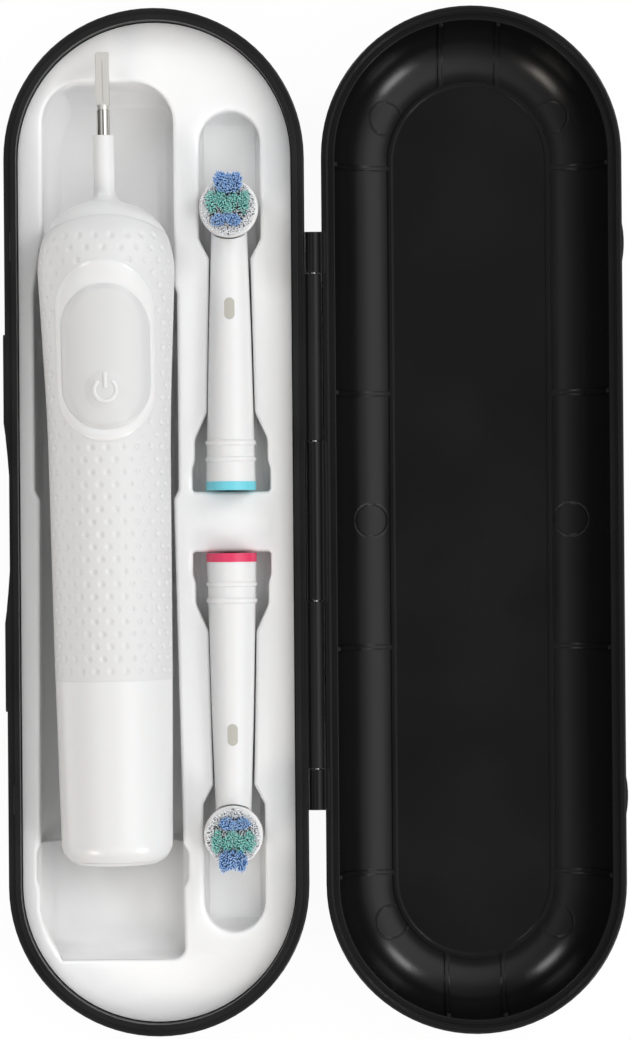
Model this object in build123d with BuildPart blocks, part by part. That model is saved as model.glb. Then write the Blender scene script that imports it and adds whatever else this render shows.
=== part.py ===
from build123d import *
from math import cos, pi, radians, sin, sqrt
import os

# Travel case for an electric toothbrush, opened flat, with the toothbrush handle and two
# brush heads lying in a moulded tray.  Millimetres.  The origin lies under the hinge axis,
# on the surface the case rests on: the base is on the -X side, the lid on the +X side,
# the length runs along Y and Z is up.

# ---------------------------------------------------------------- joins and clearances
OVERLAP = 1.0
PRESS_FIT = 0.01
RUNNING_FIT = 0.06
REST_GAP = 0.3

# ---------------------------------------------------------------- case shells
CASE_LENGTH = 230.0
CASE_WIDTH = 67.2
SHELL_DEPTH = 21.0
SHELL_SPACING = 3.8
SHELL_FLOOR = 2.2
OUTER_EDGE_RADIUS = 14.0
INNER_EDGE_RADIUS = 12.5
RIM_ROUND = 0.4
RIM_GAP = 0.1
RIM_LAND = 1.6
TONGUE_WALL = 1.2
TONGUE_HEIGHT = 1.5
TONGUE_FIT = 0.25
RABBET_DEPTH = TONGUE_HEIGHT + REST_GAP
LID_WALL = 3.0
BASE_WALL = RIM_LAND + TONGUE_WALL
SHELL_X = (CASE_WIDTH + SHELL_SPACING) / 2
BASE_X = -SHELL_X
END_CENTRE_Y = (CASE_LENGTH - CASE_WIDTH) / 2

# thumb scoop and grip pads on the latch side of the base
SCOOP_CHORD = 38.4
SCOOP_DEPTH = 1.1
SCOOP_FLOOR_Z = 12.0
SIDE_PROUD = 0.4
PAD_LENGTH = 23.0
PAD_HEIGHT = 6.0
PAD_CORNER = 1.2

# snap catches on the tongue, their seats and the bulges behind them in the lid
CATCH_Y = 61.8
CATCH_LENGTH = 6.5
CATCH_RADIUS = 0.5
CATCH_PROUD = 0.3
CATCH_RISE = 0.8
CATCH_FIT = 0.15
BULGE_LENGTH = 8.5
BULGE_BOTTOM_Z = 14.5

# hinge
HINGE_LENGTH = 129.0
HINGE_BARREL_RADIUS = 1.7
HINGE_PIN_RADIUS = 0.8
HINGE_END_KNUCKLE = 9.0
HINGE_MIDDLE_KNUCKLE = 36.0
KNUCKLE_GAP = 0.3
WEB_BITE = 0.3
HINGE_Z = SHELL_DEPTH + RIM_GAP / 2

# lid ribs and moulding marks
PANEL_INSET = 15.2
PANEL_RIB_WIDTH = 1.0
RIB_HEIGHT = 0.6
RIB_WIDTH = 0.9
SIDE_RIB_Y = (80.0, 28.8)
END_RIB_OFFSET = 6.4
RIB_TOP_Z = 17.4
RIB_DOT_RADIUS = 0.75
EJECTOR_RADIUS = 3.9
EJECTOR_LINE = 0.35
EJECTOR_PROUD = 0.2
EJECTOR_CORNER = (18.8, 91.4)
EJECTOR_SIDE = 22.7

# ---------------------------------------------------------------- tray
TRAY_TOP = 18.0
TRAY_WALL = 1.2
TRAY_GAP = 0.25
LEDGE_WIDTH = 1.9
LEDGE_HEIGHT = 2.0
LEDGE_BITE = 0.5
POCKET_RIM_INSET = 6.2
POCKET_SHELL_GAP = 0.6

HANDLE_POCKET_FLOOR = 4.6
HANDLE_POCKET_TOP_Y = 98.7
HANDLE_POCKET_FOOT_Y = -98.0
HANDLE_POCKET_LEFT = BASE_X - 25.1
HANDLE_POCKET_RIGHT = BASE_X + 4.3
HANDLE_POCKET_HEAD_CORNER = 9.0
HANDLE_POCKET_BOTTOM_RADIUS = 6.8
FINGER_NOTCH_TOP_Y = 52.2
FINGER_NOTCH_FOOT_Y = 6.2
FINGER_NOTCH_LEFT = BASE_X - 27.3
LEFT_NOTCH_RUN = 14.0
FINGER_NOTCH_RIGHT = BASE_X + 4.9
LOWER_LEFT_TOP = BASE_X - 26.2
LOWER_LEFT_FOOT = BASE_X - 26.8
LOWER_RIGHT_TOP = BASE_X + 3.85
LOWER_RIGHT_NOTCH = BASE_X + 5.4
LOWER_RIGHT_FOOT = BASE_X + 5.7
FOOT_NOTCH_TOP_Y = -73.0
FOOT_NOTCH_FOOT_Y = -81.0
FOOT_NOTCH_DEPTH = 1.1
STEP_RUN = 2.0
STEP_ROUND = 1.5
FOOT_CORNER = 2.7
FOOT_SHELF_Y = -72.0
FOOT_SHELF_RADIUS = 8.0
SADDLE_Y = 38.0
SADDLE_THICKNESS = 3.0
SADDLE_WIDTH = 22.0
SADDLE_TOP = 12.0

HEAD_POCKET_X = BASE_X + 16.8
HEAD_POCKET_END_HALF = 8.75
HEAD_POCKET_STEP_HALF = 8.15
HEAD_POCKET_NECK_HALF = 5.35
HEAD_POCKET_WAIST_HALF = 4.6
HEAD_POCKET_ARCH_RADIUS = 6.92
HEAD_POCKET_START_Y = 6.75
HEAD_POCKET_STEP_Y = 12.8
HEAD_POCKET_FLARE_Y = 18.5
HEAD_POCKET_NECK_Y = 24.5
HEAD_POCKET_WAIST_Y = 59.0
HEAD_POCKET_SHOULDER_Y = 63.5
HEAD_POCKET_TIP_Y = 92.1
HEAD_POCKET_BOTTOM_RADIUS = 3.0
HEAD_POCKET_START_RADIUS = 0.4
HEAD_POCKET_CORNERS = [0.8, STEP_ROUND, STEP_ROUND, 4.0, 3.0, 1.0, 1.5]

# ---------------------------------------------------------------- toothbrush handle
HANDLE_FOOT_X = BASE_X - 9.16
HANDLE_FOOT_Y = -76.2
HANDLE_AXIS_Z = 22.3
HANDLE_YAW = 0.68
HANDLE_LENGTH = 181.2
FOOT_RADIUS = 12.35
FOOT_EDGE_ROUND = 5.0
SEAM_STATION = 41.1
LOWER_STATION = 43.0
LOWER_RADIUS = 13.1
WAIST_STATION = 99.0
WAIST_RADIUS = 13.7
CHEST_STATION = 134.5
CHEST_RADIUS = 15.4
SHOULDER_STATION = 145.4
SHOULDER_RADIUS = 12.6
NECK_STATION = 148.2
NECK_RADIUS = 2.35
NECK_END = 162.6
HANDLE_BLENDS = [400, 500, 20, 13, 2.6, 0.3]
HOUSING_BORE = 10.3
BORE_END = 134.0
GRIP_THICKNESS = 1.2
GRIP_TOP_STATION = 144.4
GRIP_TOP_RADIUS = 25.4

# button and its surround
BEZEL_STATION = 114.2
BEZEL_LENGTH = 40.4
BEZEL_WIDTH = 22.1
BEZEL_PROUD = 0.5
PAD_STATION = 112.8
BUTTON_LENGTH = 32.2
BUTTON_WIDTH = 19.5
BUTTON_PROUD = 1.05
BUTTON_THICKNESS = 1.5
BUTTON_GAP = 0.25
BUTTON_TRAVEL = 0.5
SWITCH_STATION = 105.5
STEM_RADIUS = 1.6
STEM_CLEARANCE = 0.4

# foot cap with the charging well, its seal and the coil around the well
CAP_FIT = 0.2
CAP_THICKNESS = 5.5
WELL_RADIUS = 4.75
WELL_DEPTH = 15.0
WELL_WALL = 1.25
SEAL_STATION = 3.6
SEAL_SECTION = 0.7
COIL_START = 6.0
COIL_END = 13.6
BOBBIN_FLANGE = 0.6
BOBBIN_HUB = 0.7
BOBBIN_FIT = 0.1
COIL_RADIUS = 9.3

# inner frame, battery, motor
FRAME_RADIUS = 10.0
FRAME_FOOT_PLATE = 1.5
FRAME_FOOT_STATION = 17.0
RAIL_WIDTH = 1.4
RAIL_HEIGHT = 3.0
RAIL_SIDE = 8.7
RAIL_END = 132.0
BATTERY_RADIUS = 7.1
BATTERY_LENGTH = 50.0
BATTERY_BUTTON = 1.2
BATTERY_BUTTON_RADIUS = 2.56
CONTACT_THICKNESS = 0.4
CONTACT_WIDTH = 5.0
CONTACT_BOTTOM_UP = -4.0
CONTACT_TOP_UP = 6.0
MIDDLE_PLATE = 1.6
MOTOR_RADIUS = 7.5
MOTOR_LENGTH = 24.0
MOTOR_WALL = 0.8
MOTOR_UP = 0.5
MOTOR_SHAFT_RADIUS = 0.75
MOTOR_PLATE = 1.2
ARMATURE_RADIUS = 5.4
BEARING_PLATE = 4.0
BEARING_STATION = 110.0
TOP_PLATE_STATION = 129.0

# gear stage, crank and rocker
GEAR_MODULE = 0.4
PINION_TEETH = 8
GEAR_TEETH = 20
TOOTH_BACKLASH = 0.16
TOOTH_ADDENDUM = 0.3
TOOTH_DEDENDUM = 0.45
TOOTH_FLARE = 0.1
TOOTH_BITE = 0.2
GEAR_THICKNESS = 2.2
GEAR_STANDOFF = 0.5
AXLE_RADIUS = 0.8
AXLE_SHORT = 0.2
CRANK_PIN_RADIUS = 0.6
CRANK_OPEN_GAP = 0.3
CRANK_PIN_LENGTH = 2.0
SHAFT_SWING = 14.7
ROCKER_THICKNESS = 2.0
ROCKER_HUB_RADIUS = 2.8
ROCKER_ARM_WIDTH = 3.4
ROCKER_REACH = 7.4
ROCKER_SLOT_FIT = 0.1
ROCKER_STANDOFF = 0.2

# circuit board and switch
BOARD_BOTTOM_UP = 5.4
BOARD_THICKNESS = 1.2
BOARD_WIDTH = 14.0
SWITCH_SIZE = 4.5
SWITCH_HEIGHT = 1.8
PLUNGER_RADIUS = 1.2
PLUNGER_TOP = 0.9
PLUNGER_SHORT = 0.05
PLUNGER_BORE_DEPTH = 1.5
SCREW_RADIUS = 0.8
SCREW_HEAD_RADIUS = 1.5
SCREW_HEAD_HEIGHT = 0.9
SCREW_SIDE = 4.6
SCREW_LENGTH = 3.0

# drive shaft, its bushes and its seal
SHAFT_RADIUS = 1.5
SHAFT_ROUND_END = 168.2
SHAFT_GROOVE_END = 169.4
SHAFT_GROOVE_RADIUS = 1.3
SHAFT_TIP_RADIUS = 1.55
SHAFT_FLAT_UP = 0.6
SHAFT_SLIT_WIDTH = 0.25
SHAFT_SLIT_DEPTH = 0.3
SHAFT_SLIT_START = 170.2
SHAFT_SLIT_END = 179.2
SHAFT_TIP_CHAMFER = 0.3
BUSH_WALL = 1.5
TOP_BUSH_STATION = 136.5
TOP_BUSH_LENGTH = 7.0
SHAFT_SEAL_LENGTH = 2.4
SHAFT_SEAL_RADIUS = 2.8
SEAL_FIT = 0.05

# ---------------------------------------------------------------- brush heads
HEAD_X = BASE_X + 16.7
HEAD_END_Y = HEAD_POCKET_START_Y + REST_GAP
HEAD_AXIS_Z = 17.0
HEAD_DISC_STATION = 63.0
RING_LENGTH = 1.95
RING_RADIUS = 5.65
RING_BORE = 4.0
RING_SPIGOT_LENGTH = 3.0
COLLAR_RADIUS = 5.55
COLLAR_BORE = 4.6
COLLAR_BORE_END = 9.0
COLLAR_RIBS = (6.95, 10.6)
COLLAR_RIB_PROUD = 0.3
COLLAR_RIB_WIDTH = 0.9
COLLAR_RIB_SINK = 0.12
COLLAR_END = 14.0
COLLAR_END_RADIUS = 5.25
NECK_MIDDLE = 36.0
NECK_MIDDLE_RADIUS = 4.75
NECK_TIP_RADIUS = 3.85
INSERT_START = 20.0
INSERT_END = 36.0
INSERT_RADIUS = 3.0
INSERT_SOCKET_END = 34.0
ROD_SEAT = 1.0
ROD_RADIUS = 1.1
ROD_CLEARANCE = 0.7
DISC_RADIUS = 6.6
DISC_BOTTOM_UP = 2.2
DISC_THICKNESS = 2.4
DISC_GAP = 0.3
DISC_EDGE_ROUND = 0.5
CARRIER_RADIUS = 6.1
CARRIER_BOTTOM_UP = -3.9
CARRIER_ROUND = 2.0
PIVOT_RADIUS = 0.6
PIVOT_BOTTOM_UP = -2.6
PIVOT_TOP_UP = 3.7
DISC_SWING = 27.5
ROD_PIN_RADIUS = 0.4
ROD_PIN_BOTTOM_UP = 2.0
ROD_PIN_TOP_UP = 3.2
ROD_PIN_DRIVE_UP = 2.75
ROD_WEB_WIDTH = 1.4
ROD_WEB_LENGTH = 1.0
ROD_CHAMBER_RADIUS = 3.3
ROD_CHAMBER_GAP = 0.3
DRIVE_SLOT_WIDTH = 1.3
DRIVE_SLOT_LENGTH = 2.0
DRIVE_SLOT_DEPTH = 1.3
INLAY_STATION = 40.6
INLAY_LENGTH = 4.9
INLAY_WIDTH = 2.3
INLAY_DEPTH = 0.6

# bristle tufts: (across, along, splay outward in degrees) on the disc
TUFT_RADIUS = 0.75
TUFT_SOCKET_DEPTH = 1.0
TUFT_FIT = 0.02
BLUE_HEIGHT = 7.6
TEAL_HEIGHT = 6.8
WHITE_HEIGHT = 6.6
BLUE_TUFTS = ((-1.7, 4.3), (0.0, 4.9), (1.7, 4.3), (-1.7, -4.3), (0.0, -4.9), (1.7, -4.3))
TEAL_TUFTS = ((-3.4, 1.0), (-3.4, -1.0), (-1.6, 2.3), (1.6, 2.3), (-1.6, -2.3), (1.6, -2.3),
              (3.4, 1.0), (3.4, -1.0))
WHITE_TUFTS = ((-4.9, 0.0), (4.9, 0.0), (-4.2, 2.7), (4.2, 2.7), (-4.2, -2.7), (4.2, -2.7))
BLUE_SPLAY = 16.0
TEAL_SPLAY = 3.0
WHITE_SPLAY = 5.0

# ---------------------------------------------------------------- shared frames
# A long piece has a frame at its foot: x to the right, y along its axis, z up.
YAW_COS = cos(radians(HANDLE_YAW))
YAW_SIN = sin(radians(HANDLE_YAW))
HANDLE = Plane(origin=(HANDLE_FOOT_X, HANDLE_FOOT_Y, HANDLE_AXIS_Z),
               x_dir=(YAW_COS, YAW_SIN, 0), z_dir=(0, 0, 1))

os.makedirs("parts", exist_ok=True)


def save(piece, name):
    """Label a finished piece and write it to its own file."""
    piece.label = name
    export_step(piece, f"parts/{name}.step")


def across(frame, station):
    """Plane square to a long piece's axis: its x runs left, its y up, its z along the axis."""
    return Plane(origin=frame.from_local_coords((0, station, 0)),
                 x_dir=-frame.x_dir, z_dir=frame.y_dir)


def add_round(frame, start, end, radius, up=0, side=0, mode=Mode.ADD):
    """Cylinder along a long piece's axis, between two stations."""
    with BuildSketch(across(frame, start)) as section:
        with Locations((-side, up)):
            Circle(radius)
    extrude(section.sketch, amount=end - start, mode=mode)


def add_block(frame, start, end, width, bottom_up, top_up, side=0, mode=Mode.ADD):
    """Box along a long piece's axis, between two stations and two heights."""
    with BuildSketch(across(frame, start)) as section:
        with Locations((-side, (bottom_up + top_up) / 2)):
            Rectangle(width, top_up - bottom_up)
    extrude(section.sketch, amount=end - start, mode=mode)


def stadium(centre_x, inset, mode=Mode.ADD):
    """Outline of the case, moved inward by inset."""
    with Locations((centre_x, 0)):
        SlotOverall(CASE_LENGTH - 2 * inset, CASE_WIDTH - 2 * inset, rotation=90, mode=mode)


def case_form(centre_x, inset, floor, edge_radius, top):
    """Stadium block with a rounded bottom edge."""
    with BuildPart() as form:
        with BuildSketch(Plane.XY.offset(floor)):
            stadium(centre_x, inset)
        extrude(amount=top - floor)
        fillet(form.faces().sort_by(Axis.Z)[0].edges(), edge_radius)
    return form.part


def outer_form(centre_x):
    """Outside of one shell, with a small round on its rim."""
    with BuildPart() as form:
        add(case_form(centre_x, 0, 0, OUTER_EDGE_RADIUS, SHELL_DEPTH))
        fillet(form.faces().sort_by(Axis.Z)[-1].edges(), RIM_ROUND)
    return form.part


def add_knuckle(side, start_y, end_y, bore_fit):
    """Hinge knuckle with its web to the shell wall on the given side."""
    web_reach = SHELL_SPACING / 2 + RIM_ROUND + WEB_BITE
    with BuildSketch(Plane.XZ.offset(-start_y)) as section:
        with Locations((0, HINGE_Z)):
            Circle(HINGE_BARREL_RADIUS)
        with Locations((side * web_reach / 2, HINGE_Z - HINGE_BARREL_RADIUS / 2)):
            Rectangle(web_reach, HINGE_BARREL_RADIUS)
        with Locations((0, HINGE_Z)):
            Circle(HINGE_PIN_RADIUS + bore_fit, mode=Mode.SUBTRACT)
    extrude(section.sketch, amount=start_y - end_y)


# ---------------------------------------------------------------- base shell
LATCH_WALL_X = BASE_X - CASE_WIDTH / 2
SCOOP_RADIUS = (SCOOP_CHORD ** 2 / 4 + SCOOP_DEPTH ** 2) / (2 * SCOOP_DEPTH)
PAD_CENTRE_Y = (SCOOP_CHORD + PAD_LENGTH) / 2
PAD_CENTRE_Z = SHELL_DEPTH - RIM_ROUND - PAD_HEIGHT / 2
CATCH_X = LATCH_WALL_X + RIM_LAND + CATCH_RADIUS - CATCH_PROUD
CATCH_Z = SHELL_DEPTH + CATCH_RISE
LEDGE_TOP = TRAY_TOP - TRAY_WALL
KNUCKLE_END = HINGE_LENGTH / 2
KNUCKLE_OUTER = KNUCKLE_END - HINGE_END_KNUCKLE
KNUCKLE_INNER = HINGE_MIDDLE_KNUCKLE / 2

with BuildPart() as base_shell:
    add(outer_form(BASE_X))
    with BuildSketch(Plane.XY.offset(SHELL_DEPTH - RIM_ROUND)):
        stadium(BASE_X, RIM_LAND)
    extrude(amount=TONGUE_HEIGHT + RIM_ROUND)
    with BuildSketch(Plane.YZ.offset(LATCH_WALL_X - SIDE_PROUD)):
        with Locations((PAD_CENTRE_Y, PAD_CENTRE_Z), (-PAD_CENTRE_Y, PAD_CENTRE_Z)):
            RectangleRounded(PAD_LENGTH, PAD_HEIGHT, PAD_CORNER)
    extrude(amount=SIDE_PROUD + OVERLAP)
    with BuildSketch(Plane.XY.offset(SCOOP_FLOOR_Z)):
        with Locations((LATCH_WALL_X + SCOOP_DEPTH - SCOOP_RADIUS, 0)):
            Circle(SCOOP_RADIUS)
    extrude(amount=SHELL_DEPTH - SCOOP_FLOOR_Z, mode=Mode.SUBTRACT)
    for catch_y in (CATCH_Y, -CATCH_Y):
        with BuildSketch(Plane.XZ.offset(CATCH_LENGTH / 2 - catch_y)):
            with Locations((CATCH_X, CATCH_Z)):
                Circle(CATCH_RADIUS)
        extrude(amount=-CATCH_LENGTH)
    add(case_form(BASE_X, BASE_WALL, SHELL_FLOOR, INNER_EDGE_RADIUS,
                  SHELL_DEPTH + TONGUE_HEIGHT), mode=Mode.SUBTRACT)
    with BuildSketch(Plane.XY.offset(LEDGE_TOP - LEDGE_HEIGHT)):
        stadium(BASE_X, BASE_WALL - LEDGE_BITE)
        stadium(BASE_X, BASE_WALL + LEDGE_WIDTH, mode=Mode.SUBTRACT)
    extrude(amount=LEDGE_HEIGHT)
    add_knuckle(-1, KNUCKLE_INNER, KNUCKLE_OUTER - KNUCKLE_GAP, PRESS_FIT)
    add_knuckle(-1, KNUCKLE_GAP - KNUCKLE_OUTER, -KNUCKLE_INNER, PRESS_FIT)
save(base_shell.part, "base_shell")

# ---------------------------------------------------------------- lid shell
SNAP_WALL_X = SHELL_X + CASE_WIDTH / 2
LID_RIM_LAND = RIM_LAND - TONGUE_FIT
SEAT_Z = 2 * HINGE_Z - CATCH_Z
EJECTOR_SPOTS = ((EJECTOR_CORNER[0], EJECTOR_CORNER[1]), (EJECTOR_CORNER[0], -EJECTOR_CORNER[1]),
                 (-EJECTOR_CORNER[0], EJECTOR_CORNER[1]), (-EJECTOR_CORNER[0], -EJECTOR_CORNER[1]),
                 (EJECTOR_SIDE, 0), (-EJECTOR_SIDE, 0))


def raised_lines(plan, height):
    """Lines of a plan standing a little proud of the lid's inner surface."""
    with BuildPart() as lines:
        extrude(plan, amount=RIB_TOP_Z)
        add(case_form(SHELL_X, LID_WALL, SHELL_FLOOR, INNER_EDGE_RADIUS, SHELL_DEPTH),
            mode=Mode.INTERSECT)
        add(case_form(SHELL_X, LID_WALL + height, SHELL_FLOOR + height,
                      INNER_EDGE_RADIUS - height, SHELL_DEPTH), mode=Mode.SUBTRACT)
    return lines.part


with BuildSketch() as rib_plan:
    for rib_y in SIDE_RIB_Y:
        with Locations((SHELL_X, rib_y), (SHELL_X, -rib_y)):
            Rectangle(CASE_WIDTH - 2 * LID_WALL, RIB_WIDTH)
    with Locations((SHELL_X + END_RIB_OFFSET, 0), (SHELL_X - END_RIB_OFFSET, 0)):
        Rectangle(RIB_WIDTH, CASE_LENGTH - 2 * LID_WALL)
    stadium(SHELL_X, PANEL_INSET + PANEL_RIB_WIDTH / 2, mode=Mode.SUBTRACT)

with BuildSketch() as ejector_plan:
    for spot_x, spot_y in EJECTOR_SPOTS:
        with Locations((SHELL_X + spot_x, spot_y)):
            Circle(EJECTOR_RADIUS)
            Circle(EJECTOR_RADIUS - EJECTOR_LINE, mode=Mode.SUBTRACT)
    stadium(SHELL_X, PANEL_INSET + PANEL_RIB_WIDTH / 2, mode=Mode.SUBTRACT)

with BuildPart() as lid_shell:
    add(outer_form(SHELL_X))
    with BuildSketch(Plane.XY.offset(BULGE_BOTTOM_Z)):
        for bulge_y in (CATCH_Y, -CATCH_Y):
            with BuildLine():
                ThreePointArc((SNAP_WALL_X, bulge_y - BULGE_LENGTH / 2),
                              (SNAP_WALL_X + SIDE_PROUD, bulge_y),
                              (SNAP_WALL_X, bulge_y + BULGE_LENGTH / 2))
                Polyline((SNAP_WALL_X, bulge_y + BULGE_LENGTH / 2),
                         (SNAP_WALL_X - OVERLAP, bulge_y + BULGE_LENGTH / 2),
                         (SNAP_WALL_X - OVERLAP, bulge_y - BULGE_LENGTH / 2),
                         (SNAP_WALL_X, bulge_y - BULGE_LENGTH / 2))
            make_face()
    extrude(amount=SHELL_DEPTH - RIM_ROUND - BULGE_BOTTOM_Z)
    add(case_form(SHELL_X, LID_WALL, SHELL_FLOOR, INNER_EDGE_RADIUS, SHELL_DEPTH),
        mode=Mode.SUBTRACT)
    with BuildSketch(Plane.XY.offset(SHELL_DEPTH - RABBET_DEPTH)):
        stadium(SHELL_X, LID_RIM_LAND)
        stadium(SHELL_X, LID_WALL + LEDGE_BITE, mode=Mode.SUBTRACT)
    extrude(amount=RABBET_DEPTH, mode=Mode.SUBTRACT)
    for seat_y in (CATCH_Y, -CATCH_Y):
        with BuildSketch(Plane.XZ.offset(CATCH_LENGTH / 2 + CATCH_FIT - seat_y)):
            with Locations((-CATCH_X, SEAT_Z)):
                Circle(CATCH_RADIUS + CATCH_FIT)
        extrude(amount=-(CATCH_LENGTH + 2 * CATCH_FIT), mode=Mode.SUBTRACT)
    add(raised_lines(rib_plan.sketch, RIB_HEIGHT))
    with BuildSketch(Plane.XY.offset(SHELL_FLOOR / 2)):
        stadium(SHELL_X, PANEL_INSET)
        stadium(SHELL_X, PANEL_INSET + PANEL_RIB_WIDTH, mode=Mode.SUBTRACT)
    extrude(amount=SHELL_FLOOR / 2 + RIB_HEIGHT)
    add(raised_lines(ejector_plan.sketch, EJECTOR_PROUD))
    add_knuckle(1, KNUCKLE_OUTER, KNUCKLE_END, RUNNING_FIT)
    add_knuckle(1, KNUCKLE_GAP - KNUCKLE_INNER, KNUCKLE_INNER - KNUCKLE_GAP, RUNNING_FIT)
    add_knuckle(1, -KNUCKLE_END, -KNUCKLE_OUTER, RUNNING_FIT)
save(lid_shell.part, "lid_shell")

# ---------------------------------------------------------------- hinge pin
with BuildPart() as hinge_pin:
    with BuildSketch(Plane.XZ.offset(KNUCKLE_END)):
        with Locations((0, HINGE_Z)):
            Circle(HINGE_PIN_RADIUS)
    extrude(amount=-HINGE_LENGTH)
save(hinge_pin.part, "hinge_pin")

# ---------------------------------------------------------------- tray
POCKET_TOP = TRAY_TOP + OVERLAP
SADDLE_STATION = SADDLE_Y - HANDLE_FOOT_Y
SADDLE_SLOPE = (CHEST_RADIUS - WAIST_RADIUS) / (CHEST_STATION - WAIST_STATION)
SADDLE_RADIUS = (WAIST_RADIUS + REST_GAP
                 + SADDLE_SLOPE * (SADDLE_STATION + SADDLE_THICKNESS - WAIST_STATION))
HANDLE_SHELF = HANDLE_AXIS_Z - FOOT_RADIUS - REST_GAP
HEAD_POCKET_FLOOR = HEAD_AXIS_Z - COLLAR_RADIUS - COLLAR_RIB_PROUD - REST_GAP


def handle_pocket_outline(grow):
    """Plan of the handle pocket, with its finger notches and its foot notches."""
    notch_right = LOWER_RIGHT_NOTCH + FOOT_NOTCH_DEPTH
    notch_left = LOWER_LEFT_FOOT - FOOT_NOTCH_DEPTH / 2
    side_rounds = [STEP_ROUND] * 8
    with BuildSketch(mode=Mode.PRIVATE) as plan:
        with BuildLine():
            FilletPolyline(
                ((HANDLE_POCKET_LEFT + HANDLE_POCKET_RIGHT) / 2, HANDLE_POCKET_TOP_Y),
                (HANDLE_POCKET_RIGHT, HANDLE_POCKET_TOP_Y),
                (HANDLE_POCKET_RIGHT, FINGER_NOTCH_TOP_Y + STEP_RUN / 2),
                (FINGER_NOTCH_RIGHT, FINGER_NOTCH_TOP_Y - STEP_RUN / 2),
                (FINGER_NOTCH_RIGHT, FINGER_NOTCH_FOOT_Y + STEP_RUN / 2),
                (LOWER_RIGHT_TOP, FINGER_NOTCH_FOOT_Y - STEP_RUN / 2),
                (LOWER_RIGHT_NOTCH, FOOT_NOTCH_TOP_Y + STEP_RUN / 2),
                (notch_right, FOOT_NOTCH_TOP_Y - STEP_RUN / 2),
                (notch_right, FOOT_NOTCH_FOOT_Y + STEP_RUN / 2),
                (LOWER_RIGHT_NOTCH, FOOT_NOTCH_FOOT_Y - STEP_RUN / 2),
                (LOWER_RIGHT_FOOT, HANDLE_POCKET_FOOT_Y),
                ((HANDLE_POCKET_LEFT + HANDLE_POCKET_RIGHT) / 2, HANDLE_POCKET_FOOT_Y),
                radius=[HANDLE_POCKET_HEAD_CORNER] + side_rounds + [FOOT_CORNER])
            FilletPolyline(
                ((HANDLE_POCKET_LEFT + HANDLE_POCKET_RIGHT) / 2, HANDLE_POCKET_FOOT_Y),
                (LOWER_LEFT_FOOT, HANDLE_POCKET_FOOT_Y),
                (LOWER_LEFT_FOOT, FOOT_NOTCH_FOOT_Y - STEP_RUN / 2),
                (notch_left, FOOT_NOTCH_FOOT_Y + STEP_RUN / 2),
                (notch_left, FOOT_NOTCH_TOP_Y - STEP_RUN / 2),
                (LOWER_LEFT_FOOT, FOOT_NOTCH_TOP_Y + STEP_RUN / 2),
                (LOWER_LEFT_TOP, FINGER_NOTCH_FOOT_Y - STEP_RUN / 2),
                (FINGER_NOTCH_LEFT, FINGER_NOTCH_FOOT_Y + STEP_RUN / 2),
                (FINGER_NOTCH_LEFT, FINGER_NOTCH_TOP_Y - STEP_RUN / 2),
                (HANDLE_POCKET_LEFT, FINGER_NOTCH_TOP_Y + LEFT_NOTCH_RUN),
                (HANDLE_POCKET_LEFT, HANDLE_POCKET_TOP_Y),
                ((HANDLE_POCKET_LEFT + HANDLE_POCKET_RIGHT) / 2, HANDLE_POCKET_TOP_Y),
                radius=[FOOT_CORNER] + side_rounds + [HANDLE_POCKET_HEAD_CORNER])
        make_face()
        if grow:
            offset(amount=grow)
        stadium(BASE_X, POCKET_RIM_INSET - grow, mode=Mode.INTERSECT)
    return plan.sketch


def trough(left, right, floor, radius, foot_y, top_y, end_radii):
    """Long hollow with rounded lower edges along its sides and at its foot and top ends."""
    with BuildPart() as form:
        with BuildSketch(Plane.XZ.offset(-foot_y)):
            with BuildLine():
                FilletPolyline((left, POCKET_TOP), (left, floor), (right, floor),
                               (right, POCKET_TOP), radius=radius)
                Line((right, POCKET_TOP), (left, POCKET_TOP))
            make_face()
        extrude(amount=foot_y - top_y)
        with BuildSketch(Plane.YZ.offset(left)):
            with BuildLine():
                FilletPolyline((foot_y, POCKET_TOP), (foot_y, floor), (top_y, floor),
                               (top_y, POCKET_TOP), radius=end_radii)
                Line((top_y, POCKET_TOP), (foot_y, POCKET_TOP))
            make_face()
        extrude(amount=right - left, mode=Mode.INTERSECT)
    return form.part


def handle_pocket(grow):
    """Hollow that takes the handle: deep under the grip, shallower under its foot."""
    left = FINGER_NOTCH_LEFT - grow
    right = LOWER_RIGHT_FOOT + FOOT_NOTCH_DEPTH + grow
    shell_room = POCKET_SHELL_GAP + TRAY_WALL - grow
    with BuildPart() as form:
        extrude(handle_pocket_outline(grow), amount=POCKET_TOP)
        hollow_radius = HANDLE_POCKET_BOTTOM_RADIUS + grow
        hollow_end_radius = hollow_radius + RUNNING_FIT
        hollow = trough(left, right, HANDLE_POCKET_FLOOR - grow, hollow_radius,
                        FOOT_SHELF_Y - grow, HANDLE_POCKET_TOP_Y + grow,
                        [hollow_end_radius, hollow_end_radius])
        shelf_radius = FOOT_SHELF_RADIUS + grow
        shelf = trough(left, right, HANDLE_SHELF - grow, shelf_radius,
                       HANDLE_POCKET_FOOT_Y - grow, FOOT_SHELF_Y + 3 * FOOT_SHELF_RADIUS,
                       [shelf_radius, shelf_radius])
        add(hollow + shelf, mode=Mode.INTERSECT)
        add(case_form(BASE_X, BASE_WALL + shell_room, SHELL_FLOOR + shell_room,
                      INNER_EDGE_RADIUS - shell_room, POCKET_TOP), mode=Mode.INTERSECT)
    return form.part


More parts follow.
